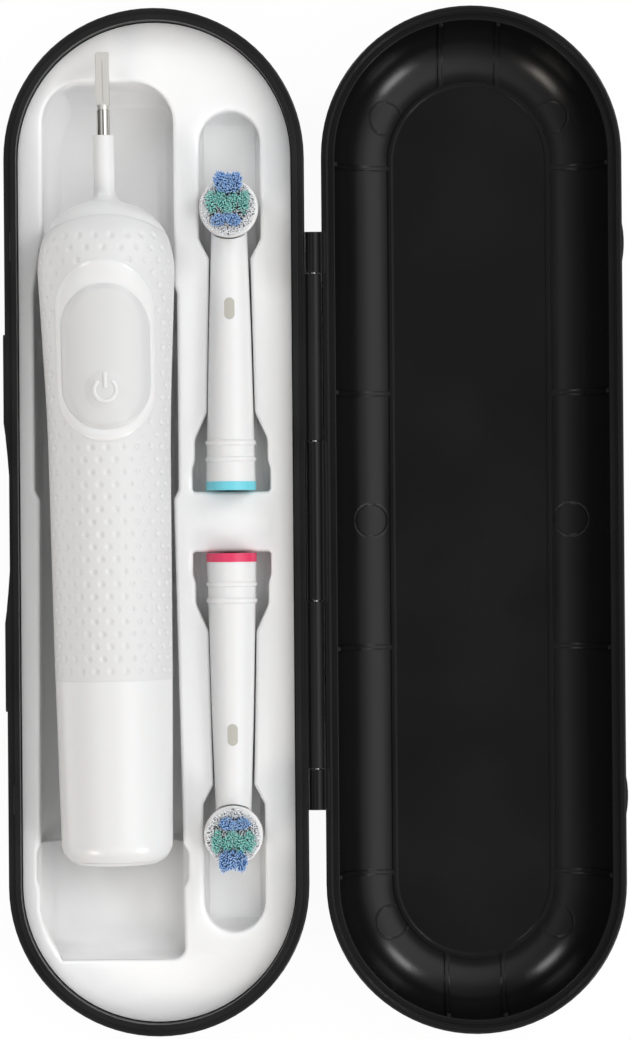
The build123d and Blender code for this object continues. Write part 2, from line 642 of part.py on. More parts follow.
def head_pocket(direction, grow):
    """Hollow that takes one brush head, its round end pointing along direction * Y."""
    side_points = [(HEAD_POCKET_END_HALF, HEAD_POCKET_START_Y),
                   (HEAD_POCKET_END_HALF, HEAD_POCKET_STEP_Y - STEP_RUN / 2),
                   (HEAD_POCKET_STEP_HALF, HEAD_POCKET_STEP_Y + STEP_RUN / 2),
                   (HEAD_POCKET_STEP_HALF, HEAD_POCKET_FLARE_Y),
                   (HEAD_POCKET_NECK_HALF, HEAD_POCKET_NECK_Y),
                   (HEAD_POCKET_WAIST_HALF, HEAD_POCKET_WAIST_Y),
                   (HEAD_POCKET_ARCH_RADIUS, HEAD_POCKET_SHOULDER_Y),
                   (HEAD_POCKET_ARCH_RADIUS, HEAD_POCKET_TIP_Y)]
    corner_radii = HEAD_POCKET_CORNERS + [HEAD_POCKET_ARCH_RADIUS - RUNNING_FIT]
    with BuildPart() as form:
        with BuildSketch():
            for side in (1, -1):
                with BuildLine():
                    FilletPolyline((HEAD_POCKET_X, HEAD_POCKET_START_Y * direction),
                                   *[(HEAD_POCKET_X + side * half, along * direction)
                                     for half, along in side_points],
                                   (HEAD_POCKET_X, HEAD_POCKET_TIP_Y * direction),
                                   radius=corner_radii)
                    Line((HEAD_POCKET_X, HEAD_POCKET_TIP_Y * direction),
                         (HEAD_POCKET_X, HEAD_POCKET_START_Y * direction))
                make_face()
            if grow:
                offset(amount=grow)
        extrude(amount=POCKET_TOP)
        foot_y, top_y = sorted((HEAD_POCKET_START_Y * direction, HEAD_POCKET_TIP_Y * direction))
        end_radii = [HEAD_POCKET_START_RADIUS + grow, HEAD_POCKET_BOTTOM_RADIUS + grow]
        add(trough(HEAD_POCKET_X - HEAD_POCKET_END_HALF - grow,
                   HEAD_POCKET_X + HEAD_POCKET_END_HALF + grow, HEAD_POCKET_FLOOR - grow,
                   HEAD_POCKET_BOTTOM_RADIUS + grow, foot_y - grow, top_y + grow,
                   end_radii[::direction]), mode=Mode.INTERSECT)
    return form.part


with BuildPart() as saddle:
    add_block(HANDLE, SADDLE_STATION, SADDLE_STATION + SADDLE_THICKNESS, SADDLE_WIDTH,
              -HANDLE_AXIS_Z, SADDLE_TOP - HANDLE_AXIS_Z)
    add(handle_pocket(TRAY_WALL / 2), mode=Mode.INTERSECT)
    add_round(HANDLE, SADDLE_STATION - OVERLAP, SADDLE_STATION + SADDLE_THICKNESS + OVERLAP,
              SADDLE_RADIUS, mode=Mode.SUBTRACT)

with BuildPart() as pocket_walls:
    add(handle_pocket(TRAY_WALL) + head_pocket(1, TRAY_WALL) + head_pocket(-1, TRAY_WALL))
    split(bisect_by=Plane.XY.offset(LEDGE_TOP), keep=Keep.BOTTOM)

with BuildPart() as tray_insert:
    with BuildSketch(Plane.XY.offset(LEDGE_TOP)):
        stadium(BASE_X, BASE_WALL + TRAY_GAP)
    extrude(amount=TRAY_WALL)
    add(pocket_walls.part)
    add(handle_pocket(0) + head_pocket(1, 0) + head_pocket(-1, 0), mode=Mode.SUBTRACT)
    add(saddle.part)
save(tray_insert.part, "tray_insert")

# ---------------------------------------------------------------- handle: shells
HANDLE_AXIS = Axis(HANDLE.origin, HANDLE.y_dir)


def handle_form(inset):
    """Round outer form of the handle, its surface moved toward the axis by inset."""
    with BuildPart() as form:
        with BuildSketch(HANDLE):
            with BuildLine():
                FilletPolyline((0, 0),
                               (FOOT_RADIUS - inset, 0),
                               (LOWER_RADIUS - inset, LOWER_STATION),
                               (WAIST_RADIUS - inset, WAIST_STATION),
                               (CHEST_RADIUS - inset, CHEST_STATION),
                               (SHOULDER_RADIUS - inset, SHOULDER_STATION),
                               (NECK_RADIUS - inset, NECK_STATION),
                               (NECK_RADIUS - inset, NECK_END),
                               (0, NECK_END),
                               radius=[FOOT_EDGE_ROUND] + HANDLE_BLENDS)
                Line((0, NECK_END), (0, 0))
            make_face()
        revolve(axis=HANDLE_AXIS)
    return form.part


def upright_oval(station, length, width):
    """Oval bar standing up through the top half of the handle."""
    with BuildPart() as bar:
        with BuildSketch(HANDLE):
            with Locations((0, station)):
                SlotOverall(length, width, rotation=90)
        extrude(amount=2 * CHEST_RADIUS)
    return bar.part


GRIP_ARC_STATION = GRIP_TOP_STATION - GRIP_TOP_RADIUS
BUSH_OUTER = SHAFT_RADIUS + RUNNING_FIT + BUSH_WALL
SEAL_START = TOP_BUSH_STATION + TOP_BUSH_LENGTH
handle_outside = handle_form(0)
handle_under_grip = handle_form(GRIP_THICKNESS)

with BuildPart() as grip_zone:
    with BuildSketch(HANDLE.offset(-2 * CHEST_RADIUS)):
        with Locations((0, (SEAM_STATION + GRIP_ARC_STATION) / 2)):
            Rectangle(4 * CHEST_RADIUS, GRIP_ARC_STATION - SEAM_STATION)
        with Locations((0, GRIP_ARC_STATION)):
            Circle(GRIP_TOP_RADIUS)
    extrude(amount=4 * CHEST_RADIUS)
    add(handle_outside, mode=Mode.INTERSECT)
    add(handle_under_grip, mode=Mode.SUBTRACT)

with BuildPart() as handle_housing:
    add(handle_outside)
    add(grip_zone.part, mode=Mode.SUBTRACT)
    add_round(HANDLE, -OVERLAP, BORE_END, HOUSING_BORE, mode=Mode.SUBTRACT)
    add_round(HANDLE, BORE_END, SEAL_START, BUSH_OUTER + PRESS_FIT, mode=Mode.SUBTRACT)
    add_round(HANDLE, BORE_END, SEAL_START + SHAFT_SEAL_LENGTH, SHAFT_SEAL_RADIUS,
              mode=Mode.SUBTRACT)
    add_round(HANDLE, BORE_END, NECK_END + OVERLAP, SHAFT_RADIUS + 2 * RUNNING_FIT,
              mode=Mode.SUBTRACT)
    with BuildSketch(HANDLE):
        with Locations((0, SWITCH_STATION)):
            Circle(STEM_RADIUS + STEM_CLEARANCE)
    extrude(amount=CHEST_RADIUS, mode=Mode.SUBTRACT)
save(handle_housing.part, "handle_housing")

with BuildPart() as grip_sleeve:
    add(grip_zone.part)
    add(upright_oval(BEZEL_STATION, BEZEL_LENGTH, BEZEL_WIDTH), mode=Mode.SUBTRACT)
save(grip_sleeve.part, "grip_sleeve")

with BuildPart() as button_bezel:
    add(upright_oval(BEZEL_STATION, BEZEL_LENGTH, BEZEL_WIDTH))
    add(handle_form(-BEZEL_PROUD), mode=Mode.INTERSECT)
    add(handle_under_grip, mode=Mode.SUBTRACT)
    add(upright_oval(PAD_STATION, BUTTON_LENGTH + 2 * BUTTON_GAP, BUTTON_WIDTH + 2 * BUTTON_GAP),
        mode=Mode.SUBTRACT)
save(button_bezel.part, "button_bezel")

PLUNGER_UP = BOARD_BOTTOM_UP + BOARD_THICKNESS + SWITCH_HEIGHT + PLUNGER_TOP
PLUNGER_LENGTH = PLUNGER_TOP + PLUNGER_BORE_DEPTH - BUTTON_TRAVEL - 3 * PLUNGER_SHORT
with BuildPart() as power_button:
    add(upright_oval(PAD_STATION, BUTTON_LENGTH, BUTTON_WIDTH))
    add(handle_form(-BUTTON_PROUD), mode=Mode.INTERSECT)
    add(handle_form(BUTTON_THICKNESS - BUTTON_PROUD), mode=Mode.SUBTRACT)
    with BuildSketch(HANDLE.offset(PLUNGER_UP)):
        with Locations((0, SWITCH_STATION)):
            Circle(STEM_RADIUS)
    extrude(amount=WAIST_RADIUS - PLUNGER_UP)
save(power_button.part, "power_button")

# ---------------------------------------------------------------- handle: foot cap and coil
CAP_RADIUS = HOUSING_BORE - CAP_FIT
SEAL_CENTRE_RADIUS = HOUSING_BORE - SEAL_SECTION - SEAL_FIT
WELL_OUTER = WELL_RADIUS + WELL_WALL
with BuildPart() as bottom_cap:
    add_round(HANDLE, 0, CAP_THICKNESS, CAP_RADIUS)
    add_round(HANDLE, 0, WELL_DEPTH + WELL_WALL, WELL_OUTER)
    add(handle_outside, mode=Mode.INTERSECT)
    add_round(HANDLE, -OVERLAP, WELL_DEPTH, WELL_RADIUS, mode=Mode.SUBTRACT)
    with BuildSketch(across(HANDLE, SEAL_STATION - SEAL_SECTION)):
        Circle(CAP_RADIUS + OVERLAP)
        Circle(SEAL_CENTRE_RADIUS - SEAL_SECTION, mode=Mode.SUBTRACT)
    extrude(amount=2 * SEAL_SECTION, mode=Mode.SUBTRACT)
save(bottom_cap.part, "bottom_cap")

with BuildPart() as cap_seal_ring:
    with BuildSketch(HANDLE):
        with Locations((SEAL_CENTRE_RADIUS, SEAL_STATION)):
            Circle(SEAL_SECTION - 2 * PRESS_FIT)
    revolve(axis=HANDLE_AXIS)
save(cap_seal_ring.part, "cap_seal_ring")

BOBBIN_BORE = WELL_OUTER + BOBBIN_FIT
WINDING_START = COIL_START + BOBBIN_FLANGE
WINDING_LENGTH = COIL_END - COIL_START - 2 * BOBBIN_FLANGE
with BuildPart() as coil_bobbin:
    add_round(HANDLE, COIL_START, COIL_END, COIL_RADIUS)
    with BuildSketch(across(HANDLE, WINDING_START)):
        Circle(COIL_RADIUS + OVERLAP)
        Circle(BOBBIN_BORE + BOBBIN_HUB, mode=Mode.SUBTRACT)
    extrude(amount=WINDING_LENGTH, mode=Mode.SUBTRACT)
    add_round(HANDLE, COIL_START - OVERLAP, COIL_END + OVERLAP, BOBBIN_BORE, mode=Mode.SUBTRACT)
save(coil_bobbin.part, "coil_bobbin")

with BuildPart() as charge_coil:
    with BuildSketch(across(HANDLE, WINDING_START)):
        Circle(COIL_RADIUS - BOBBIN_HUB / 2)
        Circle(BOBBIN_BORE + BOBBIN_HUB, mode=Mode.SUBTRACT)
    extrude(amount=WINDING_LENGTH)
save(charge_coil.part, "charge_coil")

# ---------------------------------------------------------------- handle: inner frame
BATTERY_FOOT = FRAME_FOOT_STATION + FRAME_FOOT_PLATE + CONTACT_THICKNESS
BATTERY_END = BATTERY_FOOT + BATTERY_LENGTH
MIDDLE_STATION = BATTERY_END + CONTACT_THICKNESS
MOTOR_STATION = MIDDLE_STATION + MIDDLE_PLATE
MOTOR_PLATE_STATION = MOTOR_STATION + MOTOR_LENGTH
GEAR_CENTRES = GEAR_MODULE * (PINION_TEETH + GEAR_TEETH) / 2
GEAR_UP = MOTOR_UP - GEAR_CENTRES
GEAR_STATION = MOTOR_PLATE_STATION + MOTOR_PLATE + GEAR_STANDOFF
SCREW_STATIONS = (BEARING_STATION + BEARING_PLATE / 2, (TOP_PLATE_STATION + RAIL_END) / 2)

with BuildPart() as inner_frame:
    for side in (RAIL_SIDE, -RAIL_SIDE):
        add_block(HANDLE, FRAME_FOOT_STATION, RAIL_END, RAIL_WIDTH,
                  -RAIL_HEIGHT / 2, RAIL_HEIGHT / 2, side)
    for plate_station, plate_thickness in ((FRAME_FOOT_STATION, FRAME_FOOT_PLATE),
                                           (MIDDLE_STATION, MIDDLE_PLATE),
                                           (MOTOR_PLATE_STATION, MOTOR_PLATE),
                                           (BEARING_STATION, BEARING_PLATE),
                                           (TOP_PLATE_STATION, RAIL_END - TOP_PLATE_STATION)):
        add_round(HANDLE, plate_station, plate_station + plate_thickness, FRAME_RADIUS)
    add_block(HANDLE, MOTOR_PLATE_STATION, RAIL_END, 2 * FRAME_RADIUS,
              BOARD_BOTTOM_UP, FRAME_RADIUS, mode=Mode.SUBTRACT)
    add_round(HANDLE, MOTOR_PLATE_STATION - OVERLAP, GEAR_STATION,
              MOTOR_SHAFT_RADIUS + RUNNING_FIT, MOTOR_UP, mode=Mode.SUBTRACT)
    add_round(HANDLE, MOTOR_PLATE_STATION - OVERLAP, GEAR_STATION,
              AXLE_RADIUS + PRESS_FIT, GEAR_UP, mode=Mode.SUBTRACT)
    add_round(HANDLE, BEARING_STATION - OVERLAP, RAIL_END + OVERLAP,
              BUSH_OUTER + PRESS_FIT, mode=Mode.SUBTRACT)
    for screw_station in SCREW_STATIONS:
        with BuildSketch(HANDLE.offset(BOARD_BOTTOM_UP - SCREW_LENGTH)):
            with Locations((SCREW_SIDE, screw_station), (-SCREW_SIDE, screw_station)):
                Circle(SCREW_RADIUS + PRESS_FIT)
        extrude(amount=SCREW_LENGTH, mode=Mode.SUBTRACT)
save(inner_frame.part, "inner_frame")

with BuildPart() as battery_cell:
    add_round(HANDLE, BATTERY_FOOT, BATTERY_END - BATTERY_BUTTON, BATTERY_RADIUS)
    add_round(HANDLE, BATTERY_FOOT, BATTERY_END, BATTERY_BUTTON_RADIUS)
save(battery_cell.part, "battery_cell")

with BuildPart() as battery_contacts:
    for contact_station in (BATTERY_FOOT - CONTACT_THICKNESS, BATTERY_END):
        add_block(HANDLE, contact_station, contact_station + CONTACT_THICKNESS,
                  CONTACT_WIDTH, CONTACT_BOTTOM_UP, CONTACT_TOP_UP)
save(battery_contacts.part, "battery_contacts")

# ---------------------------------------------------------------- handle: motor and gears
CRANK_RADIUS = -GEAR_UP * sin(radians(SHAFT_SWING))
GEAR_END = GEAR_STATION + GEAR_THICKNESS
CRANK_PIN_END = GEAR_END + CRANK_PIN_LENGTH
ROCKER_STATION = CRANK_PIN_END + CRANK_OPEN_GAP
ROCKER_END = ROCKER_STATION + ROCKER_THICKNESS
ROCKER_SLOT_WIDTH = 2 * (CRANK_PIN_RADIUS + ROCKER_SLOT_FIT)
ROCKER_SLOT_HALF = CRANK_RADIUS + CRANK_PIN_RADIUS + 2 * ROCKER_SLOT_FIT

with BuildPart() as motor_can:
    add_round(HANDLE, MOTOR_STATION, MOTOR_PLATE_STATION, MOTOR_RADIUS, MOTOR_UP)
    add_round(HANDLE, MOTOR_STATION + MOTOR_WALL, MOTOR_PLATE_STATION - MOTOR_WALL,
              MOTOR_RADIUS - MOTOR_WALL, MOTOR_UP, mode=Mode.SUBTRACT)
    add_round(HANDLE, MOTOR_STATION + MOTOR_WALL / 2, GEAR_STATION,
              MOTOR_SHAFT_RADIUS + RUNNING_FIT, MOTOR_UP, mode=Mode.SUBTRACT)
save(motor_can.part, "motor_can")

with BuildPart() as motor_rotor:
    add_round(HANDLE, MOTOR_STATION + MOTOR_WALL / 2 + RUNNING_FIT, GEAR_END + RUNNING_FIT,
              MOTOR_SHAFT_RADIUS, MOTOR_UP)
    add_round(HANDLE, MOTOR_STATION + 3 * MOTOR_WALL, MOTOR_PLATE_STATION - 3 * MOTOR_WALL,
              ARMATURE_RADIUS, MOTOR_UP)
save(motor_rotor.part, "motor_rotor")


def toothed_wheel(station, up, teeth, first_angle, bore):
    """Spur gear about an axis parallel to the handle's, first tooth at first_angle."""
    pitch_radius = GEAR_MODULE * teeth / 2
    root_radius = pitch_radius - TOOTH_DEDENDUM
    tip_radius = pitch_radius + TOOTH_ADDENDUM
    half_pitch_width = GEAR_MODULE * pi / 4 - TOOTH_BACKLASH / 2
    root_half = half_pitch_width + TOOTH_FLARE
    tip_half = half_pitch_width - TOOTH_FLARE
    with BuildPart() as wheel:
        with BuildSketch(across(HANDLE, station)):
            with Locations((0, up)):
                Circle(root_radius)
                with PolarLocations(0, teeth, start_angle=first_angle):
                    Polygon((root_radius - TOOTH_BITE, -root_half), (tip_radius, -tip_half),
                            (tip_radius, tip_half), (root_radius - TOOTH_BITE, root_half),
                            align=None)
                Circle(bore, mode=Mode.SUBTRACT)
        extrude(amount=GEAR_THICKNESS)
    return wheel.part


with BuildPart() as motor_pinion:
    add(toothed_wheel(GEAR_STATION, MOTOR_UP, PINION_TEETH, -90 + 180 / PINION_TEETH,
                      MOTOR_SHAFT_RADIUS))
save(motor_pinion.part, "motor_pinion")

with BuildPart() as crank_gear:
    add(toothed_wheel(GEAR_STATION, GEAR_UP, GEAR_TEETH, 90, AXLE_RADIUS + RUNNING_FIT))
    add_round(HANDLE, GEAR_END, CRANK_PIN_END, CRANK_PIN_RADIUS, GEAR_UP - CRANK_RADIUS)
save(crank_gear.part, "crank_gear")

with BuildPart() as gear_axle:
    add_round(HANDLE, MOTOR_PLATE_STATION, GEAR_END - AXLE_SHORT, AXLE_RADIUS, GEAR_UP)
save(gear_axle.part, "gear_axle")

with BuildPart() as rocker_arm:
    add_round(HANDLE, ROCKER_STATION, ROCKER_END, ROCKER_HUB_RADIUS)
    add_block(HANDLE, ROCKER_STATION, ROCKER_END, ROCKER_ARM_WIDTH, -ROCKER_REACH, 0)
    add_block(HANDLE, ROCKER_STATION - OVERLAP, ROCKER_END + OVERLAP, ROCKER_SLOT_WIDTH,
              GEAR_UP - ROCKER_SLOT_HALF, GEAR_UP + ROCKER_SLOT_HALF, mode=Mode.SUBTRACT)
    add_round(HANDLE, ROCKER_STATION - OVERLAP, ROCKER_END + OVERLAP, SHAFT_RADIUS,
              mode=Mode.SUBTRACT)
save(rocker_arm.part, "rocker_arm")

# ---------------------------------------------------------------- handle: switch
BOARD_TOP_UP = BOARD_BOTTOM_UP + BOARD_THICKNESS
with BuildPart() as circuit_board:
    add_block(HANDLE, MOTOR_PLATE_STATION, RAIL_END, BOARD_WIDTH,
              BOARD_BOTTOM_UP, BOARD_TOP_UP)
    for screw_station in SCREW_STATIONS:
        with BuildSketch(HANDLE.offset(BOARD_BOTTOM_UP)):
            with Locations((SCREW_SIDE, screw_station), (-SCREW_SIDE, screw_station)):
                Circle(SCREW_RADIUS + RUNNING_FIT)
        extrude(amount=BOARD_THICKNESS, mode=Mode.SUBTRACT)
save(circuit_board.part, "circuit_board")

with BuildPart() as board_screws:
    for screw_station in SCREW_STATIONS:
        for screw_side in (SCREW_SIDE, -SCREW_SIDE):
            with BuildSketch(HANDLE.offset(BOARD_BOTTOM_UP - SCREW_LENGTH)):
                with Locations((screw_side, screw_station)):
                    Circle(SCREW_RADIUS)
            extrude(amount=SCREW_LENGTH + BOARD_THICKNESS)
            with BuildSketch(HANDLE.offset(BOARD_TOP_UP)):
                with Locations((screw_side, screw_station)):
                    Circle(SCREW_HEAD_RADIUS)
            extrude(amount=SCREW_HEAD_HEIGHT)
save(board_screws.part, "board_screws")

with BuildPart() as tact_switch:
    add_block(HANDLE, SWITCH_STATION - SWITCH_SIZE / 2, SWITCH_STATION + SWITCH_SIZE / 2,
              SWITCH_SIZE, BOARD_TOP_UP, BOARD_TOP_UP + SWITCH_HEIGHT)
    with BuildSketch(HANDLE.offset(BOARD_TOP_UP + SWITCH_HEIGHT - PLUNGER_BORE_DEPTH)):
        with Locations((0, SWITCH_STATION)):
            Circle(PLUNGER_RADIUS + RUNNING_FIT)
    extrude(amount=PLUNGER_BORE_DEPTH, mode=Mode.SUBTRACT)
save(tact_switch.part, "tact_switch")

with BuildPart() as switch_plunger:
    with BuildSketch(HANDLE.offset(PLUNGER_UP - PLUNGER_SHORT)):
        with Locations((0, SWITCH_STATION)):
            Circle(PLUNGER_RADIUS)
    extrude(amount=-PLUNGER_LENGTH)
save(switch_plunger.part, "switch_plunger")

# ---------------------------------------------------------------- handle: drive shaft
with BuildPart() as drive_shaft:
    add_round(HANDLE, ROCKER_STATION - ROCKER_STANDOFF, SHAFT_ROUND_END, SHAFT_RADIUS)
    add_round(HANDLE, SHAFT_ROUND_END, SHAFT_GROOVE_END, SHAFT_GROOVE_RADIUS)
    add_round(HANDLE, SHAFT_GROOVE_END, HANDLE_LENGTH, SHAFT_TIP_RADIUS)
    chamfer(drive_shaft.faces().sort_by(HANDLE_AXIS)[-1].edges(), SHAFT_TIP_CHAMFER)
    add_block(HANDLE, SHAFT_GROOVE_END, HANDLE_LENGTH + OVERLAP, 3 * SHAFT_TIP_RADIUS,
              SHAFT_FLAT_UP, 2 * SHAFT_TIP_RADIUS, mode=Mode.SUBTRACT)
    add_block(HANDLE, SHAFT_SLIT_START, SHAFT_SLIT_END, SHAFT_SLIT_WIDTH,
              SHAFT_FLAT_UP - SHAFT_SLIT_DEPTH, SHAFT_FLAT_UP + OVERLAP, mode=Mode.SUBTRACT)
save(drive_shaft.part, "drive_shaft")

for bush_name, bush_station, bush_length in (
        ("lower_shaft_bush", BEARING_STATION, BEARING_PLATE),
        ("upper_shaft_bush", TOP_BUSH_STATION, TOP_BUSH_LENGTH)):
    with BuildPart() as shaft_bush:
        add_round(HANDLE, bush_station, bush_station + bush_length, BUSH_OUTER)
        add_round(HANDLE, bush_station - OVERLAP, bush_station + bush_length + OVERLAP,
                  SHAFT_RADIUS + RUNNING_FIT, mode=Mode.SUBTRACT)
    save(shaft_bush.part, bush_name)

with BuildPart() as shaft_seal:
    add_round(HANDLE, SEAL_START + SEAL_FIT, SEAL_START + SHAFT_SEAL_LENGTH - SEAL_FIT,
              SHAFT_SEAL_RADIUS - SEAL_FIT)
    add_round(HANDLE, SEAL_START - OVERLAP, SEAL_START + SHAFT_SEAL_LENGTH + OVERLAP,
              SHAFT_RADIUS + SEAL_FIT, mode=Mode.SUBTRACT)
save(shaft_seal.part, "shaft_seal")

# ---------------------------------------------------------------- brush heads
DISC_TOP_UP = DISC_BOTTOM_UP + DISC_THICKNESS
CARRIER_TOP_UP = DISC_BOTTOM_UP - DISC_GAP
ROD_PIN_OFFSET = (ROD_PIN_DRIVE_UP * sin(radians(SHAFT_SWING)) / sin(radians(DISC_SWING)))
ROD_PIN_STATION = HEAD_DISC_STATION - ROD_PIN_OFFSET
ROD_WEB_START = ROD_PIN_STATION - ROD_WEB_LENGTH / 2
ROD_WEB_END = ROD_PIN_STATION + ROD_PIN_RADIUS
RIB_CIRCLE_RADIUS = COLLAR_RIB_PROUD + COLLAR_RIB_WIDTH / 2
RIB_CIRCLE_X = COLLAR_RADIUS - COLLAR_RIB_SINK - COLLAR_RIB_WIDTH / 2


def head_form(frame, inset):
    """Round tapering body of a brush head, with its two raised rings."""
    with BuildPart() as form:
        with BuildSketch(frame):
            with BuildLine():
                Polyline((0, RING_LENGTH), (COLLAR_RADIUS - inset, RING_LENGTH),
                         (COLLAR_END_RADIUS - inset, COLLAR_END),
                         (NECK_MIDDLE_RADIUS - inset, NECK_MIDDLE),
                         (NECK_TIP_RADIUS - inset, HEAD_DISC_STATION),
                         (0, HEAD_DISC_STATION), close=True)
            make_face()
            if not inset:
                with Locations(*[(RIB_CIRCLE_X, rib) for rib in COLLAR_RIBS]):
                    Circle(RIB_CIRCLE_RADIUS)
        revolve(axis=Axis(frame.origin, frame.y_dir))
    return form.part


def inlay_bar(frame):
    """Upright bar with the plan of the wear inlay."""
    with BuildPart() as bar:
        with BuildSketch(frame):
            with Locations((0, INLAY_STATION)):
                SlotOverall(INLAY_LENGTH, INLAY_WIDTH, rotation=90)
        extrude(amount=2 * COLLAR_RADIUS)
    return bar.part


def head_body(frame):
    """Hollow body: collar bore, insert bore, rod channel and the carrier under the disc."""
    with BuildPart() as body:
        with BuildSketch(frame.offset(CARRIER_BOTTOM_UP)) as carrier_plan:
            with Locations((0, HEAD_DISC_STATION)):
                Circle(CARRIER_RADIUS)
        extrude(carrier_plan.sketch, amount=CARRIER_TOP_UP - CARRIER_BOTTOM_UP)
        fillet(body.faces().sort_by(Axis.Z)[0].edges(), CARRIER_ROUND)
        neck = head_form(frame, 0)
        add(neck)
        with BuildSketch(frame.offset(CARRIER_TOP_UP)) as disc_room:
            with Locations((0, HEAD_DISC_STATION)):
                Circle(DISC_RADIUS + DISC_GAP)
        extrude(disc_room.sketch, amount=2 * DISC_TOP_UP, mode=Mode.SUBTRACT)
        add_round(frame, 0, COLLAR_BORE_END, COLLAR_BORE, mode=Mode.SUBTRACT)
        add_round(frame, 0, INSERT_END + RUNNING_FIT, INSERT_RADIUS + RUNNING_FIT,
                  mode=Mode.SUBTRACT)
        add_round(frame, 0, ROD_WEB_START, ROD_RADIUS + ROD_CLEARANCE, mode=Mode.SUBTRACT)
        add_round(frame, ROD_WEB_START - ROD_CHAMBER_GAP, ROD_WEB_END + ROD_CHAMBER_GAP / 2,
                  ROD_CHAMBER_RADIUS, mode=Mode.SUBTRACT)
        with BuildSketch(frame.offset(PIVOT_BOTTOM_UP)) as pivot_plan:
            with Locations((0, HEAD_DISC_STATION)):
                Circle(PIVOT_RADIUS + PRESS_FIT)
        extrude(pivot_plan.sketch, amount=DISC_TOP_UP - PIVOT_BOTTOM_UP, mode=Mode.SUBTRACT)
        add(inlay_bar(frame) - head_form(frame, INLAY_DEPTH), mode=Mode.SUBTRACT)
    return body.part


def wear_inlay(frame):
    """Coloured strip let into the top of the neck, flush with it."""
    with BuildPart() as inlay:
        add(inlay_bar(frame))
        add(head_form(frame, 0), mode=Mode.INTERSECT)
        add(head_form(frame, INLAY_DEPTH), mode=Mode.SUBTRACT)
    return inlay.part


def colour_ring(frame):
    """Coloured ring at the open end, with a spigot in the collar bore."""
    with BuildPart() as ring:
        add_round(frame, 0, RING_LENGTH, RING_RADIUS)
        add_round(frame, RING_LENGTH, RING_LENGTH + RING_SPIGOT_LENGTH, COLLAR_BORE - PRESS_FIT)
        add_round(frame, -OVERLAP, RING_LENGTH + RING_SPIGOT_LENGTH + OVERLAP, RING_BORE,
                  mode=Mode.SUBTRACT)
    return ring.part


def coupling_insert(frame):
    """Socket that takes the tip of the drive shaft and turns with it."""
    with BuildPart() as insert:
        add_round(frame, INSERT_START, INSERT_END, INSERT_RADIUS)
        with BuildSketch(across(frame, INSERT_START)) as socket:
            Circle(SHAFT_TIP_RADIUS + RUNNING_FIT)
            with Locations((0, SHAFT_FLAT_UP + RUNNING_FIT + SHAFT_TIP_RADIUS)):
                Rectangle(4 * SHAFT_TIP_RADIUS, 2 * SHAFT_TIP_RADIUS, mode=Mode.SUBTRACT)
        extrude(socket.sketch, amount=INSERT_SOCKET_END - INSERT_START, mode=Mode.SUBTRACT)
        add_round(frame, INSERT_END - ROD_SEAT, INSERT_END + OVERLAP, ROD_RADIUS + PRESS_FIT,
                  mode=Mode.SUBTRACT)
    return insert.part


def drive_rod(frame):
    """Rod from the coupling to a crank pin that stands in the disc's slot."""
    with BuildPart() as rod:
        add_round(frame, INSERT_END - ROD_SEAT, ROD_WEB_END, ROD_RADIUS)
        add_block(frame, ROD_WEB_START, ROD_WEB_END, ROD_WEB_WIDTH, -ROD_RADIUS,
                  ROD_PIN_BOTTOM_UP)
        with BuildSketch(frame.offset(ROD_PIN_BOTTOM_UP)) as pin_plan:
            with Locations((0, ROD_PIN_STATION)):
                Circle(ROD_PIN_RADIUS)
        extrude(pin_plan.sketch, amount=ROD_PIN_TOP_UP - ROD_PIN_BOTTOM_UP)
    return rod.part


def pivot_pin(frame):
    """Pin that carries the disc."""
    with BuildPart() as pin:
        with BuildSketch(frame.offset(PIVOT_BOTTOM_UP)) as pin_plan:
            with Locations((0, HEAD_DISC_STATION)):
                Circle(PIVOT_RADIUS)
        extrude(pin_plan.sketch, amount=PIVOT_TOP_UP - PIVOT_BOTTOM_UP)
    return pin.part


def tufts(frame, spots, height, splay, radius):
    """Bristle tufts standing in the disc, each leaning outward from the disc's centre."""
    with BuildPart() as group:
        for tuft_across, tuft_along in spots:
            reach = sqrt(tuft_across ** 2 + tuft_along ** 2)
            lean = sin(radians(splay)) / reach
            root = (tuft_across, HEAD_DISC_STATION + tuft_along, DISC_TOP_UP - TUFT_SOCKET_DEPTH)
            lean_dir = (frame.x_dir * tuft_across + frame.y_dir * tuft_along) * lean
            with BuildSketch(Plane(origin=frame.from_local_coords(root),
                                   z_dir=frame.z_dir + lean_dir)) as tuft_plan:
                Circle(radius)
            extrude(tuft_plan.sketch, amount=TUFT_SOCKET_DEPTH + height)
    return group.part


def brush_disc(frame):
    """Round disc with a socket for every tuft, a pivot bore and the driven slot."""
    with BuildPart() as disc:
        with BuildSketch(frame.offset(DISC_BOTTOM_UP)) as disc_plan:
            with Locations((0, HEAD_DISC_STATION)):
                Circle(DISC_RADIUS)
        extrude(disc_plan.sketch, amount=DISC_THICKNESS)
        fillet(disc.faces().sort_by(Axis.Z)[-1].edges(), DISC_EDGE_ROUND)
        with BuildSketch(frame.offset(DISC_BOTTOM_UP)) as bore_plan:
            with Locations((0, HEAD_DISC_STATION)):
                Circle(PIVOT_RADIUS + RUNNING_FIT)
        extrude(bore_plan.sketch, amount=PIVOT_TOP_UP - DISC_BOTTOM_UP + RUNNING_FIT,
                mode=Mode.SUBTRACT)
        with BuildSketch(frame.offset(DISC_BOTTOM_UP)) as slot_plan:
            with Locations((0, ROD_PIN_STATION)):
                Rectangle(DRIVE_SLOT_WIDTH, DRIVE_SLOT_LENGTH)
        extrude(slot_plan.sketch, amount=DRIVE_SLOT_DEPTH, mode=Mode.SUBTRACT)
        for spots, splay in ((BLUE_TUFTS, BLUE_SPLAY), (TEAL_TUFTS, TEAL_SPLAY),
                             (WHITE_TUFTS, WHITE_SPLAY)):
            add(tufts(frame, spots, OVERLAP, splay, TUFT_RADIUS + TUFT_FIT), mode=Mode.SUBTRACT)
    return disc.part


